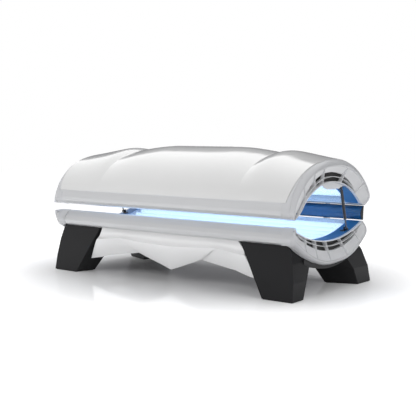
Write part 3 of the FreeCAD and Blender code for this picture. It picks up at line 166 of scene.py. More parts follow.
def make_floor():
    """A glossy white floor that glows towards its far parts; no glow near its middle, which paints
    shade on the floor around and under the object.
    """
    mesh = bpy.data.meshes.new("floor")
    mesh.from_pydata([(x * FLOOR_HALF, y * FLOOR_HALF, 0)
                      for x, y in ((-1, -1), (1, -1), (1, 1), (-1, 1))], [], [(0, 1, 2, 3)])
    floor = placed("floor", mesh)
    made = bpy.data.materials.new("floor_white")
    made.use_nodes = True
    tree = made.node_tree
    shader = shader_of(made)
    shader.inputs["Base Color"].default_value = (*FLOOR_COLOUR, 1.0)
    shader.inputs["Roughness"].default_value = FLOOR_ROUGHNESS
    place = tree.nodes.new("ShaderNodeTexCoord")
    squeeze = tree.nodes.new("ShaderNodeVectorMath")
    squeeze.operation = "MULTIPLY"
    squeeze.inputs[1].default_value = GLOW_SCALE
    tree.links.new(place.outputs["Object"], squeeze.inputs[0])
    reach = tree.nodes.new("ShaderNodeVectorMath")
    reach.operation = "LENGTH"
    tree.links.new(squeeze.outputs["Vector"], reach.inputs[0])
    # Painted shade: the glow is none near the object's middle and grows outwards from there.
    spread = map_range(tree, reach.outputs["Value"], PAINTED_SHADE_REACH, (0.0, GLOW_STRENGTH))
    spread.node.interpolation_type = "SMOOTHSTEP"
    path = tree.nodes.new("ShaderNodeLightPath")
    seen = maths(tree, "MAXIMUM", path.outputs["Is Camera Ray"], path.outputs["Is Glossy Ray"])
    strength = maths(tree, "MULTIPLY", seen, spread)
    glow = tree.nodes.new("ShaderNodeEmission")
    tree.links.new(strength, glow.inputs["Strength"])
    both = tree.nodes.new("ShaderNodeAddShader")
    tree.links.new(shader.outputs[0], both.inputs[0])
    tree.links.new(glow.outputs[0], both.inputs[1])
    tree.links.new(both.outputs[0], tree.nodes["Material Output"].inputs["Surface"])
    mesh.materials.append(made)


def make_lights():
    for name, place, target, size, power in LIGHTS:
        data = bpy.data.lights.new(name, "AREA")
        data.shape = "RECTANGLE"
        data.size, data.size_y = size
        data.energy = power
        light = placed(name, data)
        light.location = place
        light.rotation_euler = facing(Vector(target) - Vector(place))
        light.visible_glossy = False


# ---------------------------------------------------------------- materials

COAT_ROUGHNESS = 0.05
ACRYLIC_ALPHA = 0.30


def shader_of(made):
    return made.node_tree.nodes["Principled BSDF"]


def material(name, colour, roughness, metallic=0.0, specular=0.5, coat=0.0, coat_ior=1.5):
    made = bpy.data.materials.new(name)
    made.use_nodes = True
    shader = shader_of(made)
    shader.inputs["Base Color"].default_value = (*colour, 1.0)
    shader.inputs["Roughness"].default_value = roughness
    shader.inputs["Metallic"].default_value = metallic
    shader.inputs["Specular IOR Level"].default_value = specular
    shader.inputs["Coat Weight"].default_value = coat
    shader.inputs["Coat Roughness"].default_value = COAT_ROUGHNESS
    shader.inputs["Coat IOR"].default_value = coat_ior
    return made


def noise(made, scale, detail=3.0, stretch=(1.0, 1.0, 1.0)):
    """Noise over the object's own coordinates, in metres."""
    tree = made.node_tree
    place = tree.nodes.new("ShaderNodeTexCoord")
    mapping = tree.nodes.new("ShaderNodeMapping")
    mapping.inputs["Scale"].default_value = stretch
    texture = tree.nodes.new("ShaderNodeTexNoise")
    texture.inputs["Scale"].default_value = scale
    texture.inputs["Detail"].default_value = detail
    tree.links.new(place.outputs["Object"], mapping.inputs["Vector"])
    tree.links.new(mapping.outputs["Vector"], texture.inputs["Vector"])
    return texture.outputs["Fac"]


def vary_colour(made, colour, share, factor):
    """Let the colour go to a share of itself where the factor is 1."""
    tree = made.node_tree
    mix = tree.nodes.new("ShaderNodeMix")
    mix.data_type = "RGBA"
    mix.inputs["A"].default_value = (*colour, 1.0)
    mix.inputs["B"].default_value = (*(share * c for c in colour), 1.0)
    tree.links.new(factor, mix.inputs["Factor"])
    tree.links.new(mix.outputs["Result"], shader_of(made).inputs["Base Color"])


def vary_roughness(made, low, high, factor):
    tree = made.node_tree
    spread = map_range(tree, factor, (0.0, 1.0), (low, high))
    tree.links.new(spread, shader_of(made).inputs["Roughness"])


def bump(made, height, strength, distance):
    tree = made.node_tree
    node = tree.nodes.new("ShaderNodeBump")
    node.inputs["Strength"].default_value = strength
    node.inputs["Distance"].default_value = distance
    tree.links.new(height, node.inputs["Height"])
    tree.links.new(node.outputs["Normal"], shader_of(made).inputs["Normal"])


def moulded(name, colour, roughness, coat=0.0, coat_ior=1.5):
    """Moulded plastic: a faint orange-peel surface and a slight shade variation."""
    made = material(name, colour, roughness, coat=coat, coat_ior=coat_ior)
    vary_colour(made, colour, 0.965, noise(made, 2.3))
    vary_roughness(made, 0.9 * roughness, 1.15 * roughness, noise(made, 7.0))
    bump(made, noise(made, 260.0, detail=2.0), strength=0.03, distance=0.0004)
    return made


def grained(name, colour, roughness):
    """Dark moulding with a fine leather-like grain."""
    made = material(name, colour, roughness, specular=0.25)
    vary_colour(made, colour, 1.35, noise(made, 5.0))
    bump(made, noise(made, 900.0, detail=4.0), strength=0.25, distance=0.0005)
    return made


def brushed(name, colour, roughness):
    """Bare metal with fine lines along the bed."""
    made = material(name, colour, roughness, metallic=1.0)
    lines = noise(made, 60.0, stretch=(0.3, 14.0, 14.0))
    vary_roughness(made, 0.75 * roughness, 1.25 * roughness, lines)
    bump(made, lines, strength=0.06, distance=0.0003)
    return made


def coated(name, colour, roughness):
    """Fine metallic coating on an extrusion, drawn along its length."""
    made = material(name, colour, roughness, metallic=0.15, coat=0.25)
    vary_colour(made, colour, 0.95, noise(made, 9.0, detail=2.0, stretch=(0.15, 3.0, 3.0)))
    lines = noise(made, 50.0, detail=2.0, stretch=(0.05, 20.0, 20.0))
    bump(made, lines, strength=0.03, distance=0.0003)
    return made


def glowing(name, colour, strength):
    """Coated glass of a lamp that is on."""
    made = material(name, (0.85, 0.9, 0.95), 0.3)
    shader = shader_of(made)
    shader.inputs["Emission Color"].default_value = (*colour, 1.0)
    shader.inputs["Emission Strength"].default_value = strength
    vary_roughness(made, 0.2, 0.4, noise(made, 12.0))
    return made


def clear(name, tint):
    """Acrylic sheet: mostly see-through, with a polished surface and a blue tint."""
    made = material(name, tint, 0.03)
    shader_of(made).inputs["Alpha"].default_value = ACRYLIC_ALPHA
    vary_roughness(made, 0.02, 0.06, noise(made, 15.0))
    return made


def make_materials():
    return {
        "shell_white": moulded("shell_white", (0.72, 0.72, 0.715), 0.3, coat=1.0, coat_ior=2.7),
        "apron_white": moulded("apron_white", (0.86, 0.86, 0.86), 0.35, coat=0.8, coat_ior=1.8),
        "rail_grey": coated("rail_grey", (0.60, 0.605, 0.615), 0.30),
        "housing_grey": moulded("housing_grey", (0.58, 0.585, 0.60), 0.28, coat=0.3),
        "grille_grey": moulded("grille_grey", (0.74, 0.745, 0.76), 0.30, coat=0.2),
        "leg_black": grained("leg_black", (0.006, 0.006, 0.007), 0.45),
        "pad_rubber": grained("pad_rubber", (0.012, 0.012, 0.012), 0.7),
        "pan_grey": coated("pan_grey", (0.42, 0.42, 0.43), 0.45),
        "acrylic": clear("acrylic", (0.66, 0.83, 1.0)),
        "strip_blue": moulded("strip_blue", (0.030, 0.165, 0.38), 0.4),
        "lamp_glass": glowing("lamp_glass", (0.66, 0.80, 1.0), 1.0),
        "lampholder_white": moulded("lampholder_white", (0.75, 0.76, 0.78), 0.4),
        "reflector": brushed("reflector", (0.78, 0.86, 0.95), 0.22),
        "frame_metal": brushed("frame_metal", (0.45, 0.45, 0.46), 0.45),
        "ballast": coated("ballast", (0.70, 0.70, 0.68), 0.5),
        "fan_black": grained("fan_black", (0.02, 0.02, 0.02), 0.5),
        "hinge_steel": brushed("hinge_steel", (0.50, 0.51, 0.53), 0.35),
        "cover_dark": moulded("cover_dark", (0.006, 0.085, 0.22), 0.2, coat=0.2),
        "strut_black": coated("strut_black", (0.010, 0.010, 0.012), 0.35),
        "strut_chrome": brushed("strut_chrome", (0.09, 0.09, 0.10), 0.25),
        "panel_dark": grained("panel_dark", (0.03, 0.035, 0.045), 0.4),
        "button_green": moulded("button_green", (0.03, 0.30, 0.09), 0.3),
        "button_red": moulded("button_red", (0.42, 0.02, 0.015), 0.3),
        "gland_grey": grained("gland_grey", (0.16, 0.16, 0.165), 0.5),
    }


# Steel pieces that are coated black like the strut between them.
BLACKENED = {"strut_studs_bed": "strut_black", "strut_studs_canopy": "strut_black"}
# Degrees from which an edge stays sharp on a CAD node, and is rounded on a leg; metres of rounding.
CAD_SHARP = 28
LEG_SHARP = 24
LEG_ROUNDING = 0.004


def round_edges(piece):
    bevel = piece.modifiers.new("round_edges", "BEVEL")
    bevel.width = LEG_ROUNDING
    bevel.segments = 3
    bevel.limit_method = "ANGLE"
    bevel.angle_limit = math.radians(LEG_SHARP)
    bevel.harden_normals = True


def finish_cad_nodes(materials):
    """Give every CAD node its material and smooth shading between its flat facets."""
    slot_of = {row["node"]: row["material_slot"] for row in frame["record"]["subparts"]}
    slot_of.update(BLACKENED)
    for name, piece in frame["nodes"].items():
        piece.data.materials.clear()
        piece.data.materials.append(materials[slot_of[name]])
        for polygon in piece.data.polygons:
            polygon.use_smooth = True
        piece.data.set_sharp_from_angle(angle=math.radians(CAD_SHARP))
        if name.startswith("leg_"):
            round_edges(piece)


# ---------------------------------------------------------------- mesh helpers, in millimetres

SPAN_POINTS = 30
# Metres: points nearer than the first are merged, edges shorter than the second are dissolved.
MERGED = 0.00003
DISSOLVED = 0.00002


def smooth_curve(points):
    """Fine polyline of a smooth curve through the given points (a centripetal Catmull-Rom
    spline), with its length along the first two columns."""
    given = np.array(points, float)
    given = np.vstack([2 * given[0] - given[1], given, 2 * given[-1] - given[-2]])
    steps = np.linalg.norm(np.diff(given[:, :2], axis=0), axis=1)
    knots = np.concatenate([[0.0], np.cumsum(steps ** 0.5)])
    pieces = []
    for i in range(1, len(given) - 2):
        p, t = given[i - 1:i + 3], knots[i - 1:i + 3]
        s = np.linspace(t[1], t[2], SPAN_POINTS, endpoint=False)[:, None]
        a = [((t[j + 1] - s) * p[j] + (s - t[j]) * p[j + 1]) / (t[j + 1] - t[j]) for j in range(3)]
        b = [((t[j + 2] - s) * a[j] + (s - t[j]) * a[j + 1]) / (t[j + 2] - t[j]) for j in range(2)]
        pieces.append(((t[2] - s) * b[0] + (s - t[1]) * b[1]) / (t[2] - t[1]))
    fine = np.vstack(pieces + [given[-2:-1]])
    steps = np.linalg.norm(np.diff(fine[:, :2], axis=0), axis=1)
    return fine, np.concatenate([[0.0], np.cumsum(steps)])


def sampled(fine, length, stations):
    return np.stack([np.interp(stations, length, column) for column in fine.T], axis=1)


def on_circle(circle, y, sign):
    """Point (y, z) of a circle's upper half (sign 1) or lower half (sign -1)."""
    (cy, cz), radius = circle
    return y, cz + sign * math.sqrt(radius ** 2 - (y - cy) ** 2)


def grid(rows, columns, start=0):
    """Faces between the points of a grid."""
    return [(start + r * columns + c, start + r * columns + c + 1,
             start + (r + 1) * columns + c + 1, start + (r + 1) * columns + c)
            for r in range(rows - 1) for c in range(columns - 1)]


def add_piece(name, body, slots, points, faces, marks=None, side=1.0, sharp=32.0):
    """A mesh piece that rides on a body. The marks say which slot each face takes, side -1
    mirrors the piece to the left, and edges over sharp degrees stay sharp."""
    mesh = bpy.data.meshes.new(name)
    mesh.from_pydata([(side * x / 1000, y / 1000, z / 1000) for x, y, z in points], [], faces)
    for slot in slots:
        mesh.materials.append(MATERIALS[slot])
    if marks is not None:
        mesh.polygons.foreach_set("material_index", marks)
    work = bmesh.new()
    work.from_mesh(mesh)
    bmesh.ops.remove_doubles(work, verts=work.verts, dist=MERGED)
    bmesh.ops.dissolve_degenerate(work, edges=work.edges, dist=DISSOLVED)
    bmesh.ops.recalc_face_normals(work, faces=work.faces)
    for face in work.faces:
        face.smooth = True
    work.to_mesh(mesh)
    work.free()
    mesh.set_sharp_from_angle(angle=math.radians(sharp))
    made = placed(name, mesh)
    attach(made, body)
    return made


# ---------------------------------------------------------------- end covers

END = 1065.0
ROUND_START = END - 42.0    # from here a cover rounds in towards its end face
ROUND_POWER = 1.7
COVER_SHARP = 40.0
STATIONS = 300
SEAM_HALF = 0.02            # half the step over which a cover goes under the shell
OTHER_SIDE = 1e3            # added on the other side, so that no seam is found there

# First two rows of a cover, tucked in: distances past the joint, the second one's before the
# shell's edge where the cover is under it, and for each its inset and further inset there.
TUCK_START = 0.3
TUCK_END = 0.5
TUCK_UNDER = 1.0
TUCK_INSETS = ((1.0, 5.0), (0.9, 5.1))
# Next rows, past the shell's edge: distance, inset, further inset where the cover is under it.
LIP = ((2.0, 1.0, 5.0), (2.3, 0.2, 0.9), (3.6, 0.0, 0.0))
LIP_END = LIP[-1][0]
# Rows from the lip to the groove: share of that way.
BODY_SHARES = (0.12, 0.31, 0.5, 0.69, 0.88, 1.0)
GROOVE = END - 27.0         # middle of the groove around a cover
GROOVE_TOP = 2.6            # its half width at the surface
GROOVE_FLOOR = 1.4          # its half width at the floor
GROOVE_DEPTH = 2.6
# x of the rows over the rounded shoulder.
SHOULDER = (1045.0, 1049.5, 1053.5, 1057.0, 1060.0, 1062.0, 1063.5, 1064.5, END)

# Rows over the rounded outer edge of the end face: distance inwards, distance behind the end.
# In the last one both are scaled down where the face is narrow, before it only the first.
EDGE_ROWS = ((3.0, 0.2), (6.0, 1.2))
EDGE_LAST = (7.5, 3.0)
FULL_WIDTH = 70.0           # width of the face below which its sizes are scaled down
RIM_WIDTH = 7.0             # rim beside the opening
LAND_WIDTH = 14.0           # least width outside the slots
SUNK = 9.0                  # place of the sunk part, and its depth there; twice that at the slots
SUNK_SHARES = (0.0, 0.2, 0.5, 0.8)
SLOT_BACK = 1030.0          # floor of the slots
SLOT_RISE = 30.0            # how much nearer it comes where the face is narrow
RIM_BACK = 1045.3
RIM_SIDE = 5.0              # last stretch of the rim's side, to the edge of the opening
# Rows of the rim: share of its width that is left, distance behind the end.
RIM_ROWS = ((1.0, 4.0), (0.85, 2.2), (0.15, 2.0), (0.0, 3.0))
PAINTED_SHADE_BAND = 1               # band of the grille's faces that is the floor of the slots, black as painted shade

# Bar along the slots: place across it, x.
BAR_SECTION = ((-2.2, 1036.0), (-2.2, 1057.0), (-1.4, 1058.0), (1.4, 1058.0), (2.2, 1057.0),
               (2.2, 1036.0))
BAR_SLOT = 10.0             # slots up to this width have no bar
# Rib: place across it, share of its height.
RIB_PROFILE = ((-2.4, 0.0), (-2.0, 0.86), (-1.2, 1.0), (1.2, 1.0), (2.0, 0.86), (2.4, 0.0))
RIB_POINTS = 12
RIB_START = 3.0             # its start, from the rim's edge
RIB_TRIED = (5.0, 240.0, 400)
RIB_STOP = 9.0              # from its tip to the outer edge of the face
RIB_CLIMB = 14.0            # rise of its base from start to tip
RIB_BEHIND = 2.5            # its crest behind the end
RIB_DIP = 2.0               # how much lower the crest is in its middle

# Front rail of the bed: its end, back and underside.
RAIL_END = 1001.5
RAIL_BACK = -424.0
RAIL_UNDER = 345.4


def rounding(x):
    """How far a cover has rounded in towards its end face, from 0 to 1."""
    u = np.clip((x - ROUND_START) / (END - ROUND_START), 0.0, 1.0)
    return 1 - (1 - u ** ROUND_POWER) ** (1 / ROUND_POWER)


def rim_line(away_y, limits, tunnel, flare, outward):
    """Inner edge of an end face: the tunnel's circle, and a flare towards the front lip."""
    y = np.clip(away_y, *limits)
    (cy, cz), radius = tunnel
    z = cz + outward * np.sqrt(radius ** 2 - (y - cy) ** 2)
    if flare:
        fine, _ = smooth_curve(flare)
        z = np.where(y < flare[-1][0], np.interp(y, fine[:, 0], fine[:, 1]), z)
    return np.column_stack([y, z])


def cover_section(control, seams):
    """Control rows at fine steps, and 1 where the cover is under the shell, else 0. The shell
    reaches from seam to seam, each given by the sign of its y and by its z."""
    fine, length = smooth_curve(control)
    stations = np.linspace(0.0, length[-1], STATIONS)
    stops = []
    for y, z in seams:
        other_side = OTHER_SIDE * ((fine[:, 0] > 0) != (y > 0))
        stops.append(length[np.argmin(np.abs(fine[:, 1] - z) + other_side)])
    for stop in stops:
        stations = np.concatenate([stations, [stop - SEAM_HALF, stop + SEAM_HALF]])
    stations = np.sort(np.clip(stations, 0.0, length[-1]))
    under = np.zeros(len(stations))
    if stops:
        under = ((stations > min(stops)) & (stations < max(stops))).astype(float)
    return sampled(fine, length, stations), under


def outer_rows(joint_line, face_line, arch, edge, under, joint):
    """Rows of a cover from its joint to its end face. Each has its x and its inset, which is
    towards the arch: two tucked in before the shell's edge, the lip, the body, the groove and
    the shoulder."""
    level = 0.0 * under
    first, second = (inset + more * under for inset, more in TUCK_INSETS)
    places = [(joint + TUCK_START, first),
              (np.where(under > 0, edge - TUCK_UNDER, joint + TUCK_END), second)]
    places += [(edge + past, inset + more * under) for past, inset, more in LIP]
    places += [((edge + LIP_END) * (1 - share) + (GROOVE - GROOVE_TOP) * share, level)
               for share in BODY_SHARES]
    places += [(GROOVE + x, level + GROOVE_DEPTH) for x in (-GROOVE_FLOOR, GROOVE_FLOOR)]
    places += [(x, level) for x in (GROOVE + GROOVE_TOP, *SHOULDER)]
    rows = []
    for x, inset in places:
        x = np.broadcast_to(x, under.shape)
        share = rounding(x)[:, None]
        line = joint_line * (1 - share) + face_line * share
        reach = np.maximum(np.linalg.norm(arch - line, axis=1), 1.0)
        line = line + inset[:, None] * (arch - line) / reach[:, None]
        rows.append(np.column_stack([x, line]))
    return rows


def end_cover(kind, body, control, tunnel, slots, limits, flare, seams, joint, ribs, outward):
    """End cover and grille of one half. Each row of control: place (y, z) in the joint, place
    (y, z) in the end face, and x of the shell's edge there. Each of slots: place y on the rim,
    width of the slots there."""
    data, under = cover_section(control, seams)
    joint_line, face_line, shell_edge = data[:, :2], data[:, 2:4], data[:, 4]
    columns = len(data)
    centre = np.array(tunnel[0])
    away = face_line - centre
    arch_y = centre[0] + tunnel[1] * away[:, 0] / np.linalg.norm(away, axis=1)
    arch = rim_line(arch_y, limits, tunnel, flare, outward)
    tunnel_edge = rim_line(arch_y, (joint_line[0, 0], limits[1]), tunnel, (), outward)
    gap = arch - face_line
    width = np.linalg.norm(gap, axis=1)
    way = gap / np.maximum(width, 1e-6)[:, None]
    scale = np.minimum(1.0, width / FULL_WIDTH)
    rim = RIM_WIDTH * scale
    slot = np.clip(rim + np.interp(arch[:, 0], *zip(*slots)), rim,
                   np.maximum(width - LAND_WIDTH * scale, rim))
    recess = width - slot

    def face_row(from_face, x):
        from_face = np.minimum(from_face, width)
        return np.column_stack([x + 0.0 * width, face_line + way * from_face[:, None]])

    edge = np.where(under > 0, shell_edge, joint)
    cover_rows = outer_rows(joint_line, face_line, arch, edge, under, joint)
    cover_rows += [face_row(inwards * scale, END - behind) for inwards, behind in EDGE_ROWS]
    cover_rows.append(face_row(EDGE_LAST[0] * scale, END - EDGE_LAST[1] * scale))
    face_start = len(cover_rows) - 1
    cover_rows += [face_row(SUNK * scale + share * (recess - SUNK * scale),
                            END - (SUNK + SUNK * share) * scale) for share in SUNK_SHARES]
    cover_rows.append(face_row(recess, END - 2 * SUNK * scale))
    if body == "base":
        for row in cover_rows:
            beside_rail = (row[:, 0] < RAIL_END) & (row[:, 1] < RAIL_BACK)
            row[:, 2] = np.where(beside_rail, np.maximum(row[:, 2], RAIL_UNDER), row[:, 2])
    slot_floor = SLOT_BACK + (1 - scale) * SLOT_RISE
    grille_rows = [cover_rows[-1], face_row(recess, slot_floor), face_row(width - rim, slot_floor)]
    grille_rows += [face_row(width - left * rim, END - behind) for left, behind in RIM_ROWS]
    grille_rows += [face_row(width, RIM_BACK + RIM_SIDE),
                    np.column_stack([RIM_BACK + 0.0 * width, tunnel_edge])]

    cover_points = np.vstack(cover_rows)
    cover_faces = grid(len(cover_rows), columns)
    cover_marks = [int(i // (columns - 1) >= face_start) for i in range(len(cover_faces))]
    points = [tuple(p) for p in np.vstack(grille_rows)]
    faces = grid(len(grille_rows), columns)
    # The slot floors take the second, black slot: painted shade inside the slots.
    marks = [int(i // (columns - 1) == PAINTED_SHADE_BAND) for i in range(len(faces))]
    opening = (slot - rim) > BAR_SLOT
    middle = arch - way * (0.5 * (slot + rim))[:, None]
    add_bar(points, faces, middle[opening], way[opening])
    for place, slope in ribs:
        foot = np.array(on_circle(tunnel, place, outward))
        lean = np.array(slope) / np.linalg.norm(slope)
        reach = np.linspace(*RIB_TRIED)
        track = foot + lean * reach[:, None]
        near = np.linalg.norm(track[:, None, :] - face_line[None], axis=2).min(1)
        stop = reach[np.argmax(near < RIB_STOP)]
        add_rib(points, faces, foot + RIB_START * lean, foot + stop * lean)
    marks += [0] * (len(faces) - len(marks))
    for word, side in SIDES:
        cover = add_piece(kind + "_end_cover_" + word, body, ["housing_grey", "grille_grey"],
                          cover_points, cover_faces, cover_marks, side, COVER_SHARP)
        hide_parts(kind + "_end_housing_" + word)
        grille = add_piece(kind + "_end_ribs_" + word, body, ["grille_grey", "fan_black"], points,
                           faces, marks, side)
        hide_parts(kind + "_end_grille_" + word)


def add_bar(points, faces, line, way):
    """Curved bar in the middle of the slots."""
    start = len(points)
    for out, x in BAR_SECTION:
        for place, normal in zip(line, way):
            points.append((x, place[0] + out * normal[0], place[1] + out * normal[1]))
    faces += grid(len(BAR_SECTION), len(line), start)


def add_rib(points, faces, foot, tip):
    """Thin radial wall with a rounded edge, rising from the slots over the recessed face."""
    way = (tip - foot) / np.linalg.norm(tip - foot)
    across = np.array([-way[1], way[0]])
    start = len(points)
    for out, height in RIB_PROFILE:
        for share in np.linspace(0.0, 1.0, RIB_POINTS):
            low = SLOT_BACK + RIB_CLIMB * share
            high = END - RIB_BEHIND - RIB_DIP * math.sin(math.pi * share)
            place = foot + share * (tip - foot) + out * across
            points.append((low + height * (high - low), place[0], place[1]))
    faces += grid(len(RIB_PROFILE), RIB_POINTS, start)


# Centre (y, z) and radius of the canopy's arch and of the curve of the lying surface.
TUNNEL = ((-38.4778, 176.4291), 539.573)
BED_ARC = ((-46.4729, 1361.8742), 1017.8753)
# Width of the slots at places along the rim.
CANOPY_SLOTS = (
    (-497.0, 0.0), (-470.0, 5.0), (-430.0, 10.0), (-350.0, 14.0), (-290.0, 26.0), (-220.0, 46.0),
    (-120.0, 58.0), (-20.0, 58.0), (90.0, 56.0), (170.0, 46.0), (235.0, 32.0), (272.0, 18.0),
    (282.0, 0.0), (346.0, 0.0))
BED_SLOTS = (
    (-490.0, 0.0), (-462.0, 0.0), (-440.0, 9.0), (-406.0, 17.0), (-306.0, 33.0), (-204.0, 48.0),
    (-98.0, 60.0), (28.0, 66.0), (140.0, 65.0), (240.0, 57.0), (305.0, 43.0), (345.0, 26.0),
    (362.0, 0.0), (372.0, 0.0))
# Front end of the canopy's rim, where it flares out to the lip.
CANOPY_FLARE = ((-498.5, 508.0), (-472.0, 513.5), (-440.0, 529.0), (-409.0, 553.0),
                (-377.0, 588.0), (-345.0, 620.5))
# y and z in the joint, y and z in the end face, x of the shell's edge there.
CANOPY_CONTROL = (
    (-437.0, 540.2, -498.5, 508.0, 999.0),
    (-437.5, 499.0, -499.0, 510.0, 999.0),
    (-458.5, 504.0, -499.5, 515.0, 999.0),
    (-478.5, 512.0, -499.0, 523.0, 999.0),
    (-495.5, 527.0, -498.0, 533.0, 999.0),
    (-503.5, 546.0, -495.5, 549.0, 999.0),
    (-501.0, 576.0, -485.0, 575.0, 999.0),
    (-492.9, 608.0, -470.0, 605.0, 999.0),
    (-464.2, 672.0, -434.0, 655.0, 1013.9),
    (-416.9, 728.1, -388.0, 700.0, 1021.0),
    (-351.9, 779.0, -332.0, 745.0, 1026.9),
    (-261.8, 822.0, -249.0, 785.0, 1030.0),
    (-150.0, 849.9, -143.0, 811.0, 1030.0),
    (-20.1, 864.0, -18.1, 825.0, 1030.0),
    (100.2, 860.9, 96.0, 822.0, 1030.0),
    (215.0, 837.9, 204.0, 800.0, 1030.0),
    (322.2, 793.1, 303.0, 758.0, 1026.9),
    (414.9, 724.0, 386.0, 699.0, 1021.0),
    (474.8, 655.1, 442.0, 643.0, 1013.9),
    (503.4, 592.0, 466.0, 596.0, 999.0),
    (488.0, 574.0, 455.0, 571.0, 999.0),
    (455.0, 567.0, 431.0, 556.0, 999.0),
    (392.0, 538.0, 389.0, 540.5, 999.0),
    (346.0, 555.0, 346.0, 555.0, 999.0),
)
BED_CONTROL = (
    (-425.0, 417.0, -489.0, 446.0, 962.0),
    (-430.0, 455.0, -491.0, 448.5, 962.0),
    (-445.5, 450.0, -494.0, 446.0, 962.0),
    (-481.5, 413.0, -492.0, 418.0, 962.0),
    (-496.0, 385.0, -482.0, 391.0, 962.0),
    (-480.5, 346.0, -460.0, 363.0, 962.0),
    (-443.6, 323.2, -428.0, 343.0, 962.0),
    (-360.0, 270.3, -346.0, 293.0, 962.0),
    (-250.2, 221.7, -241.0, 245.0, 962.0),
    (-129.9, 187.0, -125.0, 211.0, 962.0),
    (-30.2, 177.0, -29.0, 201.0, 962.0),
    (59.9, 177.9, 58.0, 202.0, 962.0),
    (179.7, 189.9, 173.0, 214.0, 962.0),
    (300.1, 228.3, 286.0, 252.0, 962.0),
    (408.3, 304.8, 380.0, 306.0, 962.0),
    (465.5, 352.0, 427.0, 348.0, 962.0),
    (453.5, 375.0, 430.0, 374.0, 962.0),
    (425.5, 397.0, 414.0, 398.0, 962.0),
    (385.5, 425.0, 384.0, 424.0, 962.0),
    (372.0, 434.0, 372.0, 434.0, 962.0),
)
# Ribs: y of the foot on the rim, and the direction (y, z) from there.
CANOPY_RIBS = ((-350.0, (-0.25, 1.0)), (-250.0, (0.02, 1.0)), (-155.0, (0.24, 1.0)),
               (72.0, (0.98, 1.0)), (267.0, (1.8, 1.0)))
BED_RIBS = ((-353.0, (0.15, -1.0)), (-240.0, (0.3, -1.0)), (-113.0, (0.58, -1.0)),
            (64.0, (0.92, -1.0)), (245.0, (1.15, -1.0)))


def make_end_covers():
    end_cover("canopy", "canopy", CANOPY_CONTROL, tunnel=TUNNEL, slots=CANOPY_SLOTS,
              limits=(-498.5, 346.0), flare=CANOPY_FLARE, seams=((-1.0, 608.3), (1.0, 592.3)),
              joint=975.0, ribs=CANOPY_RIBS, outward=1.0)
    end_cover("bed", "base", BED_CONTROL, tunnel=BED_ARC, slots=BED_SLOTS,
              limits=(-489.0, 372.0), flare=(), seams=(), joint=962.0, ribs=BED_RIBS, outward=-1.0)


# ---------------------------------------------------------------- trim at the ends

# Hinge cover: its centre (y, z), radius and end; the cap's arc in degrees, y of its chord at the
# arc's two ends, its least width, and its rows: distance inside the end, share of the way from
# arc to chord.
HINGE = (425.0, 480.0)
COVER_R = 58.0
COVER_END = 1056.0
CAP_TURNS = (110.0, 225.0)
CAP_CHORD = (404.0, 398.0)
CAP_LEAST = 1.0
CAP_POINTS = 40
CAP_ROWS = ((6.0, 0.0), (1.0, 0.0), (0.0, 0.06), (0.0, 0.3), (0.0, 0.6), (0.0, 0.94), (1.0, 1.0),
            (6.0, 1.0))

# Lamp cover: its two ends, its gap to the arch and least height, its lower edge's height, that
# edge's rise towards the sides with the middle and half width of it, and its scallops.
LAMP_COVER_ENDS = (-135.0, 150.0)
LAMP_COVER_GAP = 0.5
LAMP_COVER_LEAST = 2.0
LAMP_COVER_LOW = 676.0
LAMP_COVER_RISE = 34.0
LAMP_COVER_MIDDLE = 7.0
LAMP_COVER_HALF = 142.0
LAMP_COVER_POINTS = 121
RISE_POWER = 4
SCALLOP_WIDTH = 47.5
SCALLOP_DEPTH = 10.0
SCALLOP_POWER = 0.6
# Section of the lamp cover: x, share of the way from its top to its lower edge.
LAMP_COVER_SECTION = ((1037.0, 0.0), (1037.0, 0.85), (1037.6, 0.96), (1038.8, 1.0), (1042.2, 1.0),
                      (1043.4, 0.96), (1044.0, 0.85), (1044.0, 0.4), (1044.0, 0.0))


def make_cover_caps():
    """Dark plate that closes each end of the hinge cover."""
    turns = np.radians(np.linspace(*CAP_TURNS, CAP_POINTS))
    arc = np.column_stack([HINGE[0] + COVER_R * np.cos(turns), HINGE[1] + COVER_R * np.sin(turns)])
    chord = np.column_stack([np.linspace(*CAP_CHORD, CAP_POINTS), arc[:, 1]])
    chord[:, 0] = np.maximum(chord[:, 0], arc[:, 0] + CAP_LEAST)
    points = np.vstack([np.column_stack([np.full(CAP_POINTS, COVER_END - inside),
                                         arc * (1 - share) + chord * share])
                        for inside, share in CAP_ROWS])
    for word, side in SIDES:
        add_piece("hinge_cover_cap_" + word, "base", ["fan_black"], points,
                  grid(len(CAP_ROWS), CAP_POINTS), side=side)


def make_lamp_covers():
    """Light scalloped cover over the ends of the canopy's lamps, just inside its arch."""
    y = np.linspace(*LAMP_COVER_ENDS, LAMP_COVER_POINTS)
    top = np.array([on_circle(TUNNEL, place, 1.0)[1] for place in y]) - LAMP_COVER_GAP
    bumps = np.abs(np.sin(np.pi * (y - LAMP_COVER_ENDS[0]) / SCALLOP_WIDTH))
    low = LAMP_COVER_LOW - SCALLOP_DEPTH * bumps ** SCALLOP_POWER
    side_way = np.abs(y - LAMP_COVER_MIDDLE)
    rise = LAMP_COVER_RISE * side_way ** RISE_POWER / LAMP_COVER_HALF ** RISE_POWER
    low = np.minimum(low + rise, top - LAMP_COVER_LEAST)
    points = np.vstack([np.column_stack([x + 0.0 * y, y, top * (1 - share) + low * share])
                        for x, share in LAMP_COVER_SECTION])
    for word, side in SIDES:
        add_piece("canopy_lamp_end_cover_" + word, "canopy", ["lampholder_white"], points,
                  grid(len(LAMP_COVER_SECTION), LAMP_COVER_POINTS), side=side)


# ---------------------------------------------------------------- apron

# The apron hangs from the front rail, in a shield between its folds and a part from each fold to
# a leg. Shares are of the way from the middle to a leg.
APRON_TOP = 344.7
APRON_FRONT = -503.5
APRON_FOLD = 0.39
APRON_WALL = 4.0
APRON_SHARP = 48.0
# Sideways shift of all above the crease, at the fold. It goes to none at the middle and the leg.
APRON_LEAN = 182.0
# How far the side part lies behind the shield below its crease, the height over which that
# grows, and the share over which it fades beyond the fold.
APRON_STEP = 9.0
STEP_HEIGHT = 30.0
STEP_FADE = 0.2
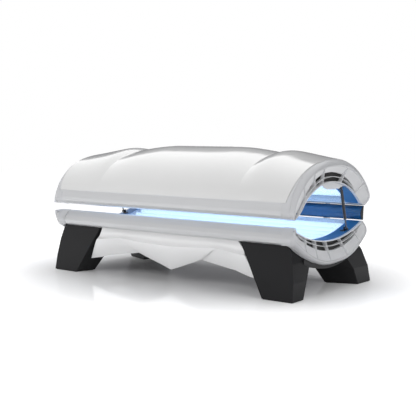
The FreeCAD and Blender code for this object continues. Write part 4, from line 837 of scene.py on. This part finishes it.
# Share, height of the lower edge, drop of the crease below the rail, set-back of the lower edge.
APRON_SHIELD = (
    (0.0, 88.9, 84.0, 112.0), (0.10, 114.0, 80.7, 107.0), (0.195, 137.6, 77.5, 101.0),
    (0.29, 160.0, 70.0, 94.0), (0.39, 183.9, 65.0, 86.0))
APRON_SIDE = (
    (0.34, 186.0, 64.0, 88.0), (0.39, 183.9, 65.0, 92.0), (0.46, 175.9, 68.0, 97.0),
    (0.55, 165.5, 71.6, 100.0), (0.65, 155.0, 75.7, 98.0), (0.77, 143.1, 80.6, 94.0),
    (0.88, 120.1, 85.0, 88.0), (1.0, 102.0, 90.0, 82.0))
SHIELD_LOOPS = 30
SIDE_LOOPS = 44
# Front of the apron from the rail to its crease: share of that way, set-back. Near the legs it
# flattens by that part towards the mean set-back. Below the crease it is a power curve.
APRON_PROFILE = ((0.0, 54.0), (0.2, 64.0), (0.4, 72.0), (0.58, 74.5), (0.74, 71.5), (0.88, 61.0),
                 (0.96, 51.0), (1.0, 45.0))
APRON_MEAN = 58.0
FLATTEN_PART = 0.5
FLATTEN_POWER = 6
LOWER_POWER = 1.5
UPPER_POINTS = 26
LOWER_POINTS = 14
# Inner edge of a front leg: z, x. The apron ends clear of it.
LEG_INNER = ((4.0, 817.6), (116.4, 751.4), (232.3, 683.7), (344.7, 616.1))
LEG_CLEAR = 4.0


def apron_part(table, count, step):
    """Closed loops of one part of the apron: down its front and up its back."""
    rows = np.array(table)
    profile, _ = smooth_curve([(100 * share, back) for share, back in APRON_PROFILE])
    upper = np.linspace(0.0, 1.0, UPPER_POINTS)
    lower = np.linspace(0.0, 1.0, LOWER_POINTS)[1:]
    loops = []
    for share in np.linspace(table[0][0], table[-1][0], count):
        edge, drop, edge_back = (np.interp(share, rows[:, 0], rows[:, k]) for k in (1, 2, 3))
        crease = APRON_TOP - drop
        z = np.concatenate([APRON_TOP - drop * upper, crease + (edge - crease) * lower])
        back = np.interp(100 * upper, profile[:, 0], profile[:, 1])
        back = APRON_MEAN + (back - APRON_MEAN) * (1 - FLATTEN_PART * share ** FLATTEN_POWER)
        back = np.concatenate([back, back[-1] + (edge_back - back[-1]) * lower ** LOWER_POWER])
        growth = np.clip((crease - z) / STEP_HEIGHT, 0.0, 1.0)
        back = back + step * growth * math.exp(-max(share - APRON_FOLD, 0.0) / STEP_FADE)
        lean = APRON_LEAN * min(share / APRON_FOLD, (1 - share) / (1 - APRON_FOLD))
        aside = np.concatenate([lean + 0.0 * upper, lean * (1 - lower)])
        x = share * (np.interp(z, *zip(*LEG_INNER)) - LEG_CLEAR) + aside
        front_face = np.column_stack([x, back + APRON_FRONT, z])
        back_face = front_face + np.array([0.0, APRON_WALL, 0.0])
        loops.append(np.vstack([front_face, back_face[::-1], front_face[:1]]))
    return loops


def make_apron():
    points, faces = [], []
    shield = apron_part(APRON_SHIELD, SHIELD_LOOPS, 0.0)
    mirror = np.array([-1.0, 1.0, 1.0])
    shield = [loop * mirror for loop in reversed(shield[1:])] + shield
    side = apron_part(APRON_SIDE, SIDE_LOOPS, APRON_STEP)
    for loops in (shield, side, [loop * mirror for loop in side]):
        start, width = len(points), len(loops[0])
        points += [tuple(p) for loop in loops for p in loop]
        faces += grid(len(loops), width, start)
        for first in (start, start + (len(loops) - 1) * width):
            faces.append(tuple(range(first, first + width - 1)))
    apron = add_piece("apron_skin", "base", ["apron_white"], points, faces, sharp=APRON_SHARP)
    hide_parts("bed_apron")


make_camera()
make_world()
make_floor()
make_lights()
MATERIALS = make_materials()
finish_cad_nodes(MATERIALS)
make_end_covers()
make_cover_caps()
make_lamp_covers()
make_apron()
